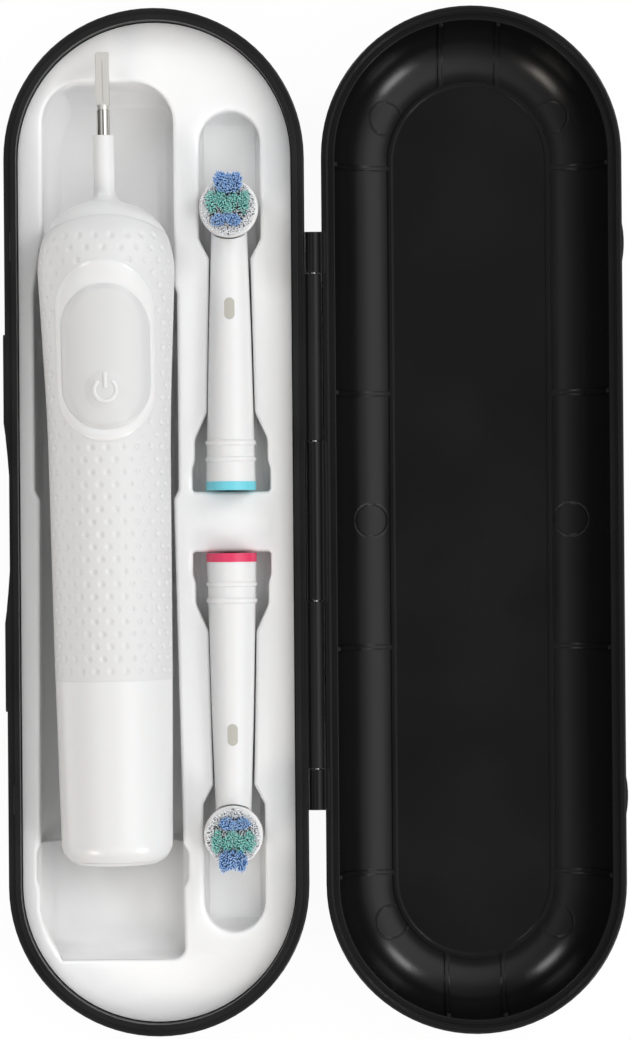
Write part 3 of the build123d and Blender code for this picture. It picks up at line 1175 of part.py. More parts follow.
for number, direction in ((1, 1), (2, -1)):
    head = Plane(origin=(HEAD_X, HEAD_END_Y * direction, HEAD_AXIS_Z),
                 x_dir=(direction, 0, 0), z_dir=(0, 0, 1))
    save(head_body(head), f"head_{number}_body")
    save(wear_inlay(head), f"head_{number}_wear_inlay")
    save(colour_ring(head), f"head_{number}_colour_ring")
    save(coupling_insert(head), f"head_{number}_coupling_insert")
    save(drive_rod(head), f"head_{number}_drive_rod")
    save(pivot_pin(head), f"head_{number}_pivot_pin")
    save(brush_disc(head), f"head_{number}_disc")
    save(tufts(head, BLUE_TUFTS, BLUE_HEIGHT, BLUE_SPLAY, TUFT_RADIUS), f"head_{number}_tufts_blue")
    save(tufts(head, TEAL_TUFTS, TEAL_HEIGHT, TEAL_SPLAY, TUFT_RADIUS), f"head_{number}_tufts_teal")
    save(tufts(head, WHITE_TUFTS, WHITE_HEIGHT, WHITE_SPLAY, TUFT_RADIUS),
         f"head_{number}_tufts_white")
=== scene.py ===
import math
import random

import bmesh
import bpy
from mathutils import Matrix, Vector


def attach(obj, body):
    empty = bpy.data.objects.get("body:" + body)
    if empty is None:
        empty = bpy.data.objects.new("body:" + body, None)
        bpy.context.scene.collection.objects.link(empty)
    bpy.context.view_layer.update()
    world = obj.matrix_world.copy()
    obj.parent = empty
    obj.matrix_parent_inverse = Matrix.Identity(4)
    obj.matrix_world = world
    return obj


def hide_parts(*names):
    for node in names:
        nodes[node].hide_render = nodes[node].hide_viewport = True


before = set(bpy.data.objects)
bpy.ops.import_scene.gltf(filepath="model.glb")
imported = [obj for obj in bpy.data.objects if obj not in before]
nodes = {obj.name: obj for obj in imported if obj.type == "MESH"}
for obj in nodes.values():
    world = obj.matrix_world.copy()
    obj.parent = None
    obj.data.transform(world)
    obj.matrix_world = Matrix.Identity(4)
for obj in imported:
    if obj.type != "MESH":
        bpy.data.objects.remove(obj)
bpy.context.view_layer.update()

# ---- camera, lamps and table -------------------------------------------------------------
# The case lies open on a plain pale table, and the camera hangs a metre above its rims.  Four
# soft boxes stand low round the table's corners under a glowing ceiling, which is brighter on
# the lid's side and dark straight overhead, so that flat black walls stay black.
MM = 0.001
rim_height = 21 * MM
camera_distance = 1.0
camera_right, camera_up = 0.08 * MM, 0.33 * MM
camera_roll = -math.radians(0.447)
picture_height = 232.2 * MM
sensor = 36.0
nearest_seen, farthest_seen = 0.05, 20
camera_data = bpy.data.cameras.new("camera")
camera_data.type = "PERSP"
camera_data.sensor_width = sensor
camera_data.lens = sensor * camera_distance / picture_height
camera_data.clip_start, camera_data.clip_end = nearest_seen, farthest_seen
camera = bpy.data.objects.new("camera", camera_data)
camera.location = (camera_right, camera_up, rim_height + camera_distance)
camera.rotation_euler = (0, 0, camera_roll)
bpy.context.scene.collection.objects.link(camera)
bpy.context.scene.camera = camera


def linear(colour):
    """Linear values of an sRGB hex colour, with full alpha."""
    parts = [int(colour[start:start + 2], 16) / 255 for start in (1, 3, 5)]
    return [part / 12.92 if part <= 0.04045 else ((part + 0.055) / 1.055) ** 2.4
            for part in parts] + [1.0]


def add_node(material, kind, inputs=None, **settings):
    """Adds one node, its settings, and its sockets' values or the sockets that feed them."""
    node = material.node_tree.nodes.new(kind)
    for name, value in settings.items():
        setattr(node, name, value)
    for name, value in (inputs or {}).items():
        if isinstance(value, bpy.types.NodeSocket):
            material.node_tree.links.new(value, node.inputs[name])
        else:
            node.inputs[name].default_value = value
    return node


def plain_material(name, colour, roughness, **sockets):
    """A material with one Principled shader and the given uniform socket values."""
    material = bpy.data.materials.new(name)
    material.use_nodes = True
    shader = material.node_tree.nodes["Principled BSDF"]
    shader.inputs["Base Color"].default_value = linear(colour)
    shader.inputs["Roughness"].default_value = roughness
    for socket, value in sockets.items():
        shader.inputs[socket.replace("_", " ")].default_value = value
    return material, shader


def feed(material, shader, socket, source):
    """Links one output to one of the shader's sockets."""
    material.node_tree.links.new(source, shader.inputs[socket])


lamp_reach = 1.15
lamp_size = 0.3
# each soft box: azimuth and elevation in degrees, watts, tint
soft_boxes = ((-38, 26, 3.8, "#FFFFFF"), (38, 27, 3.5, "#FFFFFF"),
              (-135, 27, 3.4, "#FFF7EC"), (135, 27, 3.4, "#FDFDFF"))
for azimuth, elevation, watts, tint in soft_boxes:
    turn, rise = math.radians(azimuth), math.radians(elevation)
    lamp_data = bpy.data.lights.new("soft_box", "AREA")
    lamp_data.size = lamp_size
    lamp_data.energy = watts
    lamp_data.color = linear(tint)[:3]
    lamp = bpy.data.objects.new("soft_box", lamp_data)
    lamp.location = (lamp_reach * math.cos(rise) * math.cos(turn),
                     lamp_reach * math.cos(rise) * math.sin(turn),
                     lamp_reach * math.sin(rise))
    lamp.rotation_euler = (-lamp.location).to_track_quat("-Z", "Y").to_euler()
    bpy.context.scene.collection.objects.link(lamp)

# strength of the ceiling at rising values of the upward part of the direction
sky_steps = ((0.0, 0.12), (0.50, 0.43), (0.72, 1.02), (0.94, 1.3), (0.978, 0.15))
sky_reach = 0.7
base_side_share, lid_side_share = 0.36, 1.78
world = bpy.data.worlds.new("studio")
world.use_nodes = True
world.node_tree.nodes["Background"].inputs["Color"].default_value = linear("#FFFFFF")
sky = add_node(world, "ShaderNodeSeparateXYZ",
               {"Vector": add_node(world, "ShaderNodeTexCoord").outputs["Generated"]})
sky_height = add_node(world, "ShaderNodeValToRGB", {"Fac": sky.outputs["Z"]})
while len(sky_height.color_ramp.elements) < len(sky_steps):
    sky_height.color_ramp.elements.new(0.5)
for step, (height, strength) in zip(sky_height.color_ramp.elements, sky_steps):
    step.position = height
    step.color = (strength, strength, strength, 1)
sky_side = add_node(world, "ShaderNodeMapRange",
                    {"Value": sky.outputs["X"], "From Min": -sky_reach, "From Max": sky_reach,
                     "To Min": base_side_share, "To Max": lid_side_share})
sky_strength = add_node(world, "ShaderNodeMath", {0: sky_height.outputs["Color"],
                                                  1: sky_side.outputs["Result"]},
                        operation="MULTIPLY")
world.node_tree.links.new(sky_strength.outputs[0],
                          world.node_tree.nodes["Background"].inputs["Strength"])
bpy.context.scene.world = world
bpy.context.scene.view_settings.view_transform = "Standard"

table_half = 4.0
table_drop = 0.02 * MM
floor_mesh = bmesh.new()
bmesh.ops.create_grid(floor_mesh, x_segments=1, y_segments=1, size=table_half)
bmesh.ops.translate(floor_mesh, verts=floor_mesh.verts, vec=(0, 0, -table_drop))
floor_data = bpy.data.meshes.new("table_top")
floor_mesh.to_mesh(floor_data)
floor = bpy.data.objects.new("table_top", floor_data)
bpy.context.scene.collection.objects.link(floor)
# Matt uncoated paper: a flat white with no highlight, nearly pure white where it is looked at
# or mirrored, and still taking the case's soft shadow.  Under the hinge it stays plain paper, so
# that the gaps between the knuckles look dark.
paper, paper_shader = plain_material("matt_white_paper", "#F6F6F6", 0.9)
pure_white_share = 0.95
hinge_half_width, hinge_half_length = 2.2 * MM, 66 * MM
paper_rays = add_node(paper, "ShaderNodeLightPath")
paper_seen = add_node(paper, "ShaderNodeMath",
                      {0: paper_rays.outputs["Is Camera Ray"],
                       1: paper_rays.outputs["Is Glossy Ray"]}, operation="MAXIMUM")
paper_seen = add_node(paper, "ShaderNodeMath",
                      {0: paper_seen.outputs[0],
                       1: paper_rays.outputs["Is Transmission Ray"]}, operation="MAXIMUM")
paper_white = add_node(paper, "ShaderNodeEmission",
                       {"Color": linear("#FFFFFF"), "Strength": 1.0})
paper_place = add_node(paper, "ShaderNodeSeparateXYZ",
                       {"Vector": add_node(paper, "ShaderNodeTexCoord").outputs["Object"]})
hinge_room = []
for axis, half in (("X", hinge_half_width), ("Y", hinge_half_length)):
    away = add_node(paper, "ShaderNodeMath", {0: paper_place.outputs[axis]},
                    operation="ABSOLUTE")
    hinge_room.append(add_node(paper, "ShaderNodeMath", {0: away.outputs[0], 1: half},
                               operation="GREATER_THAN").outputs[0])
paper_open = add_node(paper, "ShaderNodeMath", {0: hinge_room[0], 1: hinge_room[1]},
                      operation="MAXIMUM")
paper_share = add_node(paper, "ShaderNodeMath",
                       {0: paper_seen.outputs[0], 1: pure_white_share},
                       operation="MULTIPLY")
paper_share = add_node(paper, "ShaderNodeMath",
                       {0: paper_share.outputs[0], 1: paper_open.outputs[0]},
                       operation="MULTIPLY")
paper_mix = add_node(paper, "ShaderNodeMixShader", {0: paper_share.outputs[0]})
paper.node_tree.links.new(paper_shader.outputs[0], paper_mix.inputs[1])
paper.node_tree.links.new(paper_white.outputs[0], paper_mix.inputs[2])
paper.node_tree.links.new(paper_mix.outputs[0],
                          paper.node_tree.nodes["Material Output"].inputs["Surface"])
floor_data.materials.append(paper)

# ---- base shell and lid shell ------------------------------------------------------------
# Two halves of a hard case, injection moulded in black ABS, the base in a finely sparked tool
# and the lid in a polished one, and joined by knuckles on a ground steel pin.
noise_low, noise_high = 0.35, 0.65
edge_samples = 6


def dress(node, material):
    """Gives a CAD node its material."""
    node.data.materials.clear()
    node.data.materials.append(material)


def grain_bump(material, shader, size, depth, detail=2.0, under=None):
    """Small uneven grain pressed into a surface; size and depth are in metres."""
    noise = add_node(material, "ShaderNodeTexNoise",
                     {"Vector": add_node(material, "ShaderNodeTexCoord").outputs["Object"],
                      "Scale": 1 / size, "Detail": detail})
    inputs = {"Height": noise.outputs[0], "Distance": depth, "Strength": 1.0}
    if under is not None:
        inputs["Normal"] = under
    bump = add_node(material, "ShaderNodeBump", inputs)
    feed(material, shader, "Normal", bump.outputs["Normal"])


def shade_range(material, shader, socket, size, low, high, detail=3.0):
    """Slow uneven change of one socket between two values or colours."""
    noise = add_node(material, "ShaderNodeTexNoise",
                     {"Vector": add_node(material, "ShaderNodeTexCoord").outputs["Object"],
                      "Scale": 1 / size, "Detail": detail})
    ramp = add_node(material, "ShaderNodeValToRGB", {"Fac": noise.outputs[0]})
    start, end = ramp.color_ramp.elements
    start.position, end.position = noise_low, noise_high
    start.color, end.color = low, high
    feed(material, shader, socket, ramp.outputs["Color"])


def grey(value):
    """A plain value as a ramp colour."""
    return (value, value, value, 1)


# Sparked black ABS: a satin black with a fine dull grain, rubbed glossier in slow patches, and
# edges broken just enough to catch a thin line of light.
base_abs, base_shader = plain_material("black_abs_sparked", "#0F0F10", 0.34,
                                       Specular_IOR_Level=0.28)
soft_edges = add_node(base_abs, "ShaderNodeBevel", {"Radius": 0.12 * MM},
                      samples=edge_samples)
grain_bump(base_abs, base_shader, size=0.12 * MM, depth=0.004 * MM,
           under=soft_edges.outputs["Normal"])
shade_range(base_abs, base_shader, "Roughness", size=22 * MM, low=grey(0.30), high=grey(0.42))
dress(nodes["base_shell"], base_abs)

# Polished black ABS: a deep black with long highlights in the curved ends, a slow ripple that
# bends them, and ribs whose rounded edges show a light line beside a dark one.
lid_abs, lid_shader = plain_material("black_abs_polished", "#0E0E0F", 0.24,
                                     Specular_IOR_Level=0.26)
lid_edges = add_node(lid_abs, "ShaderNodeBevel", {"Radius": 0.4 * MM}, samples=edge_samples)
grain_bump(lid_abs, lid_shader, size=9 * MM, depth=0.008 * MM, detail=1.0,
           under=lid_edges.outputs["Normal"])
shade_range(lid_abs, lid_shader, "Roughness", size=30 * MM, low=grey(0.22), high=grey(0.28))
dress(nodes["lid_shell"], lid_abs)

# Ground steel: a cool grey metal whose fine grain breaks up its highlights.
pin_steel, pin_shader = plain_material("ground_steel", "#B9BABB", 0.25, Metallic=1.0)
grain_bump(pin_steel, pin_shader, size=0.1 * MM, depth=0.003 * MM)
dress(nodes["hinge_pin"], pin_steel)

# ---- tray insert -------------------------------------------------------------------------
# A white polystyrene tray, vacuum formed, so that every pocket has a soft rolled rim and a
# faint orange peel.  Its foot rests on a ledge inside the base shell.
tray_top = 18.0 * MM
rim_roll, roll_steps = 0.9 * MM, 5
merge_reach = 0.002 * MM
flat_turn = math.radians(0.03)
shell_centre_x = -35.5 * MM
end_centre_y = 81.4 * MM
tray_half_width = 30.55 * MM
edge_slack = 0.1 * MM
level_slack = 0.01 * MM
least_top_z, most_wall_z = 0.99, 0.5


def new_piece(name, shape, material, body, smooth_angle=40):
    """Makes a finished object from a bmesh and hangs it on a body."""
    mesh = bpy.data.meshes.new(name)
    shape.to_mesh(mesh)
    shape.free()
    mesh.polygons.foreach_set("use_smooth", [True] * len(mesh.polygons))
    mesh.set_sharp_from_angle(angle=math.radians(smooth_angle))
    mesh.materials.append(material)
    piece = bpy.data.objects.new(name, mesh)
    bpy.context.scene.collection.objects.link(piece)
    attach(piece, body)
    return piece


tray = bmesh.new()
tray.from_mesh(nodes["tray_insert"].data)
bmesh.ops.remove_doubles(tray, verts=tray.verts, dist=merge_reach)
bmesh.ops.dissolve_limit(tray, angle_limit=flat_turn, verts=tray.verts, edges=tray.edges)


def at_outer_edge(place):
    """Whether a place lies on the tray's outer edge, next to the shell."""
    past = max(abs(place.y) - end_centre_y, 0)
    return math.hypot(place.x - shell_centre_x, past) > tray_half_width - edge_slack


rims = []
for edge in tray.edges:
    places = [vert.co for vert in edge.verts]
    if len(edge.link_faces) == 2 and all(abs(place.z - tray_top) < level_slack
                                         for place in places):
        wall, top = sorted(face.normal.z for face in edge.link_faces)
        if (wall < most_wall_z and top > least_top_z
                and not all(at_outer_edge(place) for place in places)):
            rims.append(edge)
bmesh.ops.bevel(tray, geom=rims, offset=rim_roll, offset_type="OFFSET", segments=roll_steps,
                profile=0.5, affect="EDGES", material=-1, clamp_overlap=False)
# Formed polystyrene: a soft half-matt white that light enters a little, so that the pocket
# walls glow instead of going grey, with a faint orange peel.
tray_plastic, tray_shader = plain_material("white_polystyrene_formed", "#EEEEEE", 0.38,
                                           Subsurface_Weight=0.6,
                                           Subsurface_Radius=(1, 1, 1),
                                           Subsurface_Scale=3 * MM)
grain_bump(tray_plastic, tray_shader, size=1.6 * MM, depth=0.02 * MM)
tray_piece = new_piece("tray", tray, tray_plastic, "base")
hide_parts("tray_insert")

# ---- handle housing and foot cap ---------------------------------------------------------
# Injection moulded in glossy white ABS; the cap closes the foot round the charging well.  The
# outline's corners are (station from the foot, radius) in millimetres, and those between the
# first and the last are rounded.
foot = Vector((-44.66, -76.2, 22.3)) * MM
yaw = math.radians(0.68)
rightward = Vector((math.cos(yaw), math.sin(yaw), 0))
headward = Vector((-math.sin(yaw), math.cos(yaw), 0))
upward = Vector((0, 0, 1))
handle_corners = [(0.0, 12.35), (43.0, 13.1), (99.0, 13.7), (134.5, 15.4), (145.4, 12.6),
                  (148.2, 2.35)]
corner_rounds = [400.0, 500.0, 20.0, 13.0]


def handle_radius(station):
    """Outside radius of the handle at a station along its axis, both in millimetres."""
    for before, corner, after, blend in zip(handle_corners, handle_corners[1:],
                                            handle_corners[2:], corner_rounds):
        run_in = (Vector(corner) - Vector(before)).normalized()
        run_out = (Vector(after) - Vector(corner)).normalized()
        half_turn = run_in.angle(run_out) / 2
        reach = blend * math.tan(half_turn)
        if corner[0] - run_in.x * reach < station < corner[0] + run_out.x * reach:
            towards = (run_out - run_in).normalized()
            centre = Vector(corner) + towards * blend / math.cos(half_turn)
            rise = math.sqrt(blend ** 2 - (station - centre.x) ** 2)
            return centre.y + (rise if centre.y < corner[1] else -rise)
    for (start, start_radius), (end, end_radius) in zip(handle_corners, handle_corners[1:]):
        if station <= end:
            share = (station - start) / (end - start)
            return start_radius + (end_radius - start_radius) * share
    return handle_corners[-1][1]


def round_handle(turn, station, radius):
    """Place in metres at an angle from the underside, a station and a radius in millimetres."""
    return foot + (rightward * math.sin(turn) * radius - upward * math.cos(turn) * radius
                   + headward * station) * MM


def on_handle(side, station, proud):
    """Place on the upper side of the handle, proud of it by some millimetres."""
    radius = handle_radius(station) + proud
    return foot + (rightward * side + headward * station
                   + upward * math.sqrt(radius ** 2 - side ** 2)) * MM


# Moulded white ABS: a clean even white with a soft gloss and a barely rippled surface.
white_abs, white_shader = plain_material("white_abs_moulded", "#D6D6D6", 0.28,
                                         Subsurface_Weight=0.08, Subsurface_Scale=1 * MM)
grain_bump(white_abs, white_shader, size=5 * MM, depth=0.003 * MM, detail=1.0)
for part_name in ("handle_housing", "bottom_cap"):
    dress(nodes[part_name], white_abs)

# ---- grip sleeve -------------------------------------------------------------------------
# Light grey thermoplastic elastomer moulded over the housing, with staggered rows of round
# dimples for the fingers, rolled under at both ends.
spots_round, spots_along = 288, 330
merge_gap = 0.005 * MM
seam_station = 41.1
grip_arc_station, grip_arc_radius = 119.0, 25.4
arc_guess, arc_rounds = 140.0, 8
first_row, row_pitch, row_count = 43.4, 2.747, 36
dimples_round = 24
dimple_radius, dimple_depth, dimple_slope = 0.78, 0.42, 1.1
top_margin = 2.6
lip = 0.06
bezel_length, bezel_width, bezel_station = 40.4, 22.1, 114.2
bezel_margin, bezel_overlap = 0.7, 0.6


def grip_top(turn):
    """Station of the grip's upper edge at an angle round the handle."""
    station = arc_guess
    for _ in range(arc_rounds):
        side = handle_radius(station) * math.sin(turn)
        station = grip_arc_station + math.sqrt(grip_arc_radius ** 2 - side ** 2)
    return station


def in_oval(side, station, length, width, centre, grow=0.0):
    """Whether a spot on the handle lies inside an upright oval grown by some millimetres."""
    past = max(abs(station - centre) - (length - width) / 2, 0)
    return math.hypot(side, past) < width / 2 + grow


grip = bmesh.new()
bmesh.ops.create_grid(grip, x_segments=spots_round, y_segments=spots_along, size=0.5)
column_turn = 2 * math.pi / dimples_round
covered = []
tops = {}
for vert in grip.verts:
    turn = 2 * math.pi * (vert.co.x + 0.5)
    if round(turn, 5) not in tops:
        tops[round(turn, 5)] = grip_top(turn)
    top = tops[round(turn, 5)]
    station = seam_station + (vert.co.y + 0.5) * (top - seam_station)
    radius = handle_radius(station)
    row = min(max(round((station - first_row) / row_pitch), 0), row_count - 1)
    shift = 0.5 if row % 2 else 0.0
    column = round(turn / column_turn - shift) + shift
    row_station = first_row + row * row_pitch
    spread = math.hypot((turn - column * column_turn) * radius, station - row_station)
    spot_side = radius * math.sin(column * column_turn)
    front = math.cos(column * column_turn) < 0
    drop = 0.0
    if (spread < dimple_radius and row_station < grip_top(column * column_turn) - top_margin
            and not (front and in_oval(spot_side, row_station, bezel_length, bezel_width,
                                       bezel_station, bezel_margin))):
        drop = dimple_depth * (1 - (spread / dimple_radius) ** 2) ** dimple_slope
    for edge_gap in (station - seam_station, top - station):
        if edge_gap < lip:
            drop += lip - math.sqrt(lip ** 2 - (lip - edge_gap) ** 2)
    side = radius * math.sin(turn)
    if math.cos(turn) < 0 and in_oval(side, station, bezel_length, bezel_width, bezel_station,
                                      -bezel_overlap):
        covered.append(vert)
    vert.co = round_handle(turn, station, radius - drop)
bmesh.ops.delete(grip, geom=covered, context="VERTS")
bmesh.ops.remove_doubles(grip, verts=grip.verts, dist=merge_gap)
bmesh.ops.recalc_face_normals(grip, faces=grip.faces)
# Overmoulded elastomer: a pale grey with a dull sheen and a very fine grain.
grip_rubber, grip_shader = plain_material("grey_tpe_overmoulded", "#CDCDCD", 0.5)
grain_bump(grip_rubber, grip_shader, size=0.25 * MM, depth=0.006 * MM)
grip_piece = new_piece("grip", grip, grip_rubber, "handle", 60)
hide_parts("grip_sleeve")

# ---- button surround and power button ----------------------------------------------------
# A glossy white oval surround, and inside it a soft pad that stands a millimetre proud with
# sloping sides.  The pad has a low round swelling with the power sign raised on it.
pad_length, pad_width, pad_station = 32.2, 19.5, 112.8
pad_gap = 0.02
side_spots = 40
# the surround's profile from its outer to its inner edge: share of the way, height
surround_profile = ((0.0, -0.5), (0.0, 0.0), (0.06, 0.2), (0.16, 0.36), (0.3, 0.46),
                    (0.5, 0.5), (0.62, 0.47), (0.75, 0.41), (0.88, 0.32), (1.0, 0.22),
                    (1.0, -0.5))


def oval_spots(length, width, centre, inset):
    """Spots round an upright oval, the same number on every oval, as (side, station)."""
    radius = max(width / 2 - inset, 0.0)
    straight = (length - width) / 2
    spots = []
    for step in range(side_spots):
        spots.append((radius, centre - straight + 2 * straight * step / side_spots))
    for step in range(side_spots):
        angle = math.pi * step / side_spots
        spots.append((radius * math.cos(angle), centre + straight + radius * math.sin(angle)))
    for step in range(side_spots):
        spots.append((-radius, centre + straight - 2 * straight * step / side_spots))
    for step in range(side_spots):
        angle = math.pi + math.pi * step / side_spots
        spots.append((radius * math.cos(angle), centre - straight + radius * math.sin(angle)))
    return spots


def skin_rings(rings):
    """Skin through rings of equally many places, each ring extruded from the one before."""
    skin = bmesh.new()
    order = skin.verts.layers.int.new("order")
    ring = bmesh.ops.create_circle(skin, segments=len(rings[0]), radius=1)["verts"]
    for number, vert in enumerate(ring):
        vert[order] = number
    edges = list(skin.edges)
    for places in rings:
        if places is not rings[0]:
            made = bmesh.ops.extrude_edge_only(skin, edges=edges)["geom"]
            ring = [item for item in made if isinstance(item, bmesh.types.BMVert)]
            edges = [item for item in made if isinstance(item, bmesh.types.BMEdge)]
        for vert in ring:
            vert.co = places[vert[order]]
    return skin


outer = oval_spots(bezel_length, bezel_width, bezel_station, 0)
inner = oval_spots(pad_length + 2 * pad_gap, pad_width + 2 * pad_gap, pad_station, 0)
bezel_rings = [[on_handle(a[0] + (b[0] - a[0]) * share, a[1] + (b[1] - a[1]) * share, proud)
                for a, b in zip(outer, inner)]
               for share, proud in surround_profile]
bezel = skin_rings(bezel_rings)
bmesh.ops.recalc_face_normals(bezel, faces=bezel.faces)
bezel_piece = new_piece("button_surround", bezel, white_abs, "handle", 45)
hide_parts("button_bezel")

swell_station, swell_radius, swell_rise, swell_slope = 105.4, 4.5, 0.5, 3.5
ring_step = 0.36
pad_merge = 0.001 * MM
# the pad's sloping side: distance in from its edge, height over the handle
slope = ((0.0, -0.6), (0.0, 0.2), (0.15, 0.22), (0.45, 0.4), (0.8, 0.66), (1.15, 0.88),
         (1.45, 1.0), (1.75, 1.05), (2.1, 1.06))
flat_inset, flat_height = slope[-1]


def pad_height(side, station, edge_height):
    """Height of the pad over the handle, with the round swelling under the power sign."""
    spread = math.hypot(side, station - swell_station) / swell_radius
    return edge_height + (swell_rise * (1 - spread ** swell_slope) if spread < 1 else 0.0)


def pad_ring(inset, height):
    """Places round the pad at a distance in from its edge and a height over the handle."""
    return [on_handle(side, station, pad_height(side, station, height))
            for side, station in oval_spots(pad_length, pad_width, pad_station, inset)]


pad_rings = [pad_ring(inset, height) for inset, height in slope]
inset = flat_inset + ring_step
while inset < pad_width / 2:
    pad_rings.append(pad_ring(inset, flat_height))
    inset += ring_step
pad_rings.append(pad_ring(pad_width, flat_height))
pad = skin_rings(pad_rings)
bmesh.ops.remove_doubles(pad, verts=pad.verts, dist=pad_merge)
bmesh.ops.recalc_face_normals(pad, faces=pad.faces)
# Moulded pad elastomer: a shade greyer and duller than the surround, so that it looks soft.
pad_rubber, pad_shader = plain_material("pale_tpe_pad", "#C8C8C8", 0.42)
grain_bump(pad_rubber, pad_shader, size=0.3 * MM, depth=0.004 * MM)
pad_piece = new_piece("power_pad", pad, pad_rubber, "button", 45)
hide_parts("power_button")

sign = bmesh.new()
stroke, stroke_height, stroke_sink = 0.5, 0.3, 0.02
stroke_steps = 6
end_share = 0.3
ring_radius, ring_steps = 2.5, 48
ring_open = math.radians(35)
bar_start, bar_length, bar_steps = 0.4, 3.7, 8


def sign_stroke(path):
    """A raised half-round line along a path of (side, station) spots."""
    order = sign.verts.layers.int.verify()
    rings = []
    for number, (side, station) in enumerate(path):
        ahead = path[min(number + 1, len(path) - 1)]
        behind = path[max(number - 1, 0)]
        run = Vector((ahead[0] - behind[0], ahead[1] - behind[1])).normalized()
        ends = number in (0, len(path) - 1)
        ring = []
        for step in range(stroke_steps + 1):
            angle = math.pi * step / stroke_steps
            reach = stroke * math.cos(angle)
            rise = stroke_height * math.sin(angle) * (end_share if ends else 1.0)
            spot = (side - run.y * reach, station + run.x * reach)
            ring.append(on_handle(*spot, pad_height(*spot, flat_height) + rise - stroke_sink))
        rings.append(ring)
    verts = [sign.verts.new(place) for place in rings[0]]
    edges = [sign.edges.new(pair) for pair in zip(verts, verts[1:])]
    for number, vert in enumerate(verts):
        vert[order] = number
    for ring in rings[1:]:
        made = bmesh.ops.extrude_edge_only(sign, edges=edges)["geom"]
        edges = [item for item in made if isinstance(item, bmesh.types.BMEdge)]
        for item in made:
            if isinstance(item, bmesh.types.BMVert):
                item.co = ring[item[order]]


ring_turns = [ring_open + (2 * math.pi - 2 * ring_open) * step / ring_steps
              for step in range(ring_steps + 1)]
sign_stroke([(ring_radius * math.sin(turn), swell_station + ring_radius * math.cos(turn))
             for turn in ring_turns])
sign_stroke([(0, swell_station + bar_start + bar_length * step / bar_steps)
             for step in range(bar_steps + 1)])
bmesh.ops.recalc_face_normals(sign, faces=sign.faces)
# The same elastomer from a polished part of the tool, a touch glossier than the pad, and a touch
# paler in colour: a painted highlight on the raised sign.
sign_rubber_painted_highlight, sign_shader = plain_material("tpe_sign_painted_highlight", "#D2D2D2", 0.32)
grain_bump(sign_rubber_painted_highlight, sign_shader, size=0.3 * MM, depth=0.002 * MM)
new_piece("power_sign", sign, sign_rubber_painted_highlight, "button", 60)

# ---- drive shaft -------------------------------------------------------------------------
# Turned and polished stainless steel that turns in two bushes inside the handle, with a flat
# milled on its tip to key the brush heads.
milled_start, milled_blend = 92.0 * MM, 0.3 * MM
polished_roughness, milled_roughness = 0.12, 0.42
mark_width, mark_depth = 0.5 * MM, 0.03 * MM
mark_stretch = 0.03
# Stainless steel: bright with hard dark streaks where it is polished, and dull where it is
# milled, with lengthwise cutter marks drawn coarser than real ones so that they show.
shaft_steel, shaft_shader = plain_material("polished_stainless_steel", "#DDDBD5", 0.12,
                                           Metallic=1.0)
shaft_place = add_node(shaft_steel, "ShaderNodeTexCoord").outputs["Object"]
shaft_length = add_node(shaft_steel, "ShaderNodeSeparateXYZ", {"Vector": shaft_place})
milled = add_node(shaft_steel, "ShaderNodeMapRange",
                  {"Value": shaft_length.outputs["Y"], "From Min": milled_start,
                   "From Max": milled_start + milled_blend, "To Min": polished_roughness,
                   "To Max": milled_roughness})
feed(shaft_steel, shaft_shader, "Roughness", milled.outputs["Result"])
cutter_marks = add_node(shaft_steel, "ShaderNodeVectorMath",
                        {0: shaft_place, 1: (1.0, mark_stretch, 1.0)},
                        operation="MULTIPLY")
mark_noise = add_node(shaft_steel, "ShaderNodeTexNoise",
                      {"Vector": cutter_marks.outputs[0], "Scale": 1 / mark_width,
                       "Detail": 2.0})
mark_bump = add_node(shaft_steel, "ShaderNodeBump",
                     {"Height": mark_noise.outputs[0], "Distance": mark_depth,
                      "Strength": 1.0})
feed(shaft_steel, shaft_shader, "Normal", mark_bump.outputs["Normal"])
dress(nodes["drive_shaft"], shaft_steel)

# ---- brush head bodies, rings and inlays -------------------------------------------------
# White glossy polypropylene bodies with a coloured ring pressed in the open end, so that
# each user knows their own head, and a beige strip let into the neck.
# Moulded polypropylene: a waxy white with a soft gloss that a slow ripple bends.
head_plastic, head_shader = plain_material("white_polypropylene", "#D8D8D8", 0.28,
                                           Subsurface_Weight=0.1, Subsurface_Scale=1 * MM)
grain_bump(head_plastic, head_shader, size=3 * MM, depth=0.01 * MM)
# Dyed strip: a dull flat beige with a fine grain.
inlay_plastic, inlay_shader = plain_material("beige_strip", "#ACAAA1", 0.5)
grain_bump(inlay_plastic, inlay_shader, size=0.4 * MM, depth=0.01 * MM)
# Grey acetal: a mid grey with a slippery half gloss, seen only down the head's open end.
insert_plastic, insert_shader = plain_material("grey_acetal", "#6D7176", 0.4)
grain_bump(insert_plastic, insert_shader, size=0.4 * MM, depth=0.006 * MM)
# Dyed polypropylene: a clear strong colour with a plain moulded gloss.
ring_tints = {1: ("teal_polypropylene", "#6CC4D2"), 2: ("crimson_polypropylene", "#D2385F")}
for number, (ring_name, ring_colour) in ring_tints.items():
    ring_plastic, ring_shader = plain_material(ring_name, ring_colour, 0.3)
    grain_bump(ring_plastic, ring_shader, size=2 * MM, depth=0.008 * MM)
    dress(nodes[f"head_{number}_colour_ring"], ring_plastic)
    dress(nodes[f"head_{number}_wear_inlay"], inlay_plastic)
    for part_name in ("body", "disc"):
        dress(nodes[f"head_{number}_{part_name}"], head_plastic)
    for part_name in ("coupling_insert", "drive_rod"):
        dress(nodes[f"head_{number}_{part_name}"], insert_plastic)
    dress(nodes[f"head_{number}_pivot_pin"], pin_steel)

# ---- bristles ----------------------------------------------------------------------------
# Nylon filaments folded in bundles into the disc: long blue ones at the tip end, teal in the
# middle, shorter blue ones at the neck end, and clear white ones round and under them all.
disc_top = 21.6
head_x, disc_y = -18.8, 70.05
root_level, root_spread = -1.0, 0.55
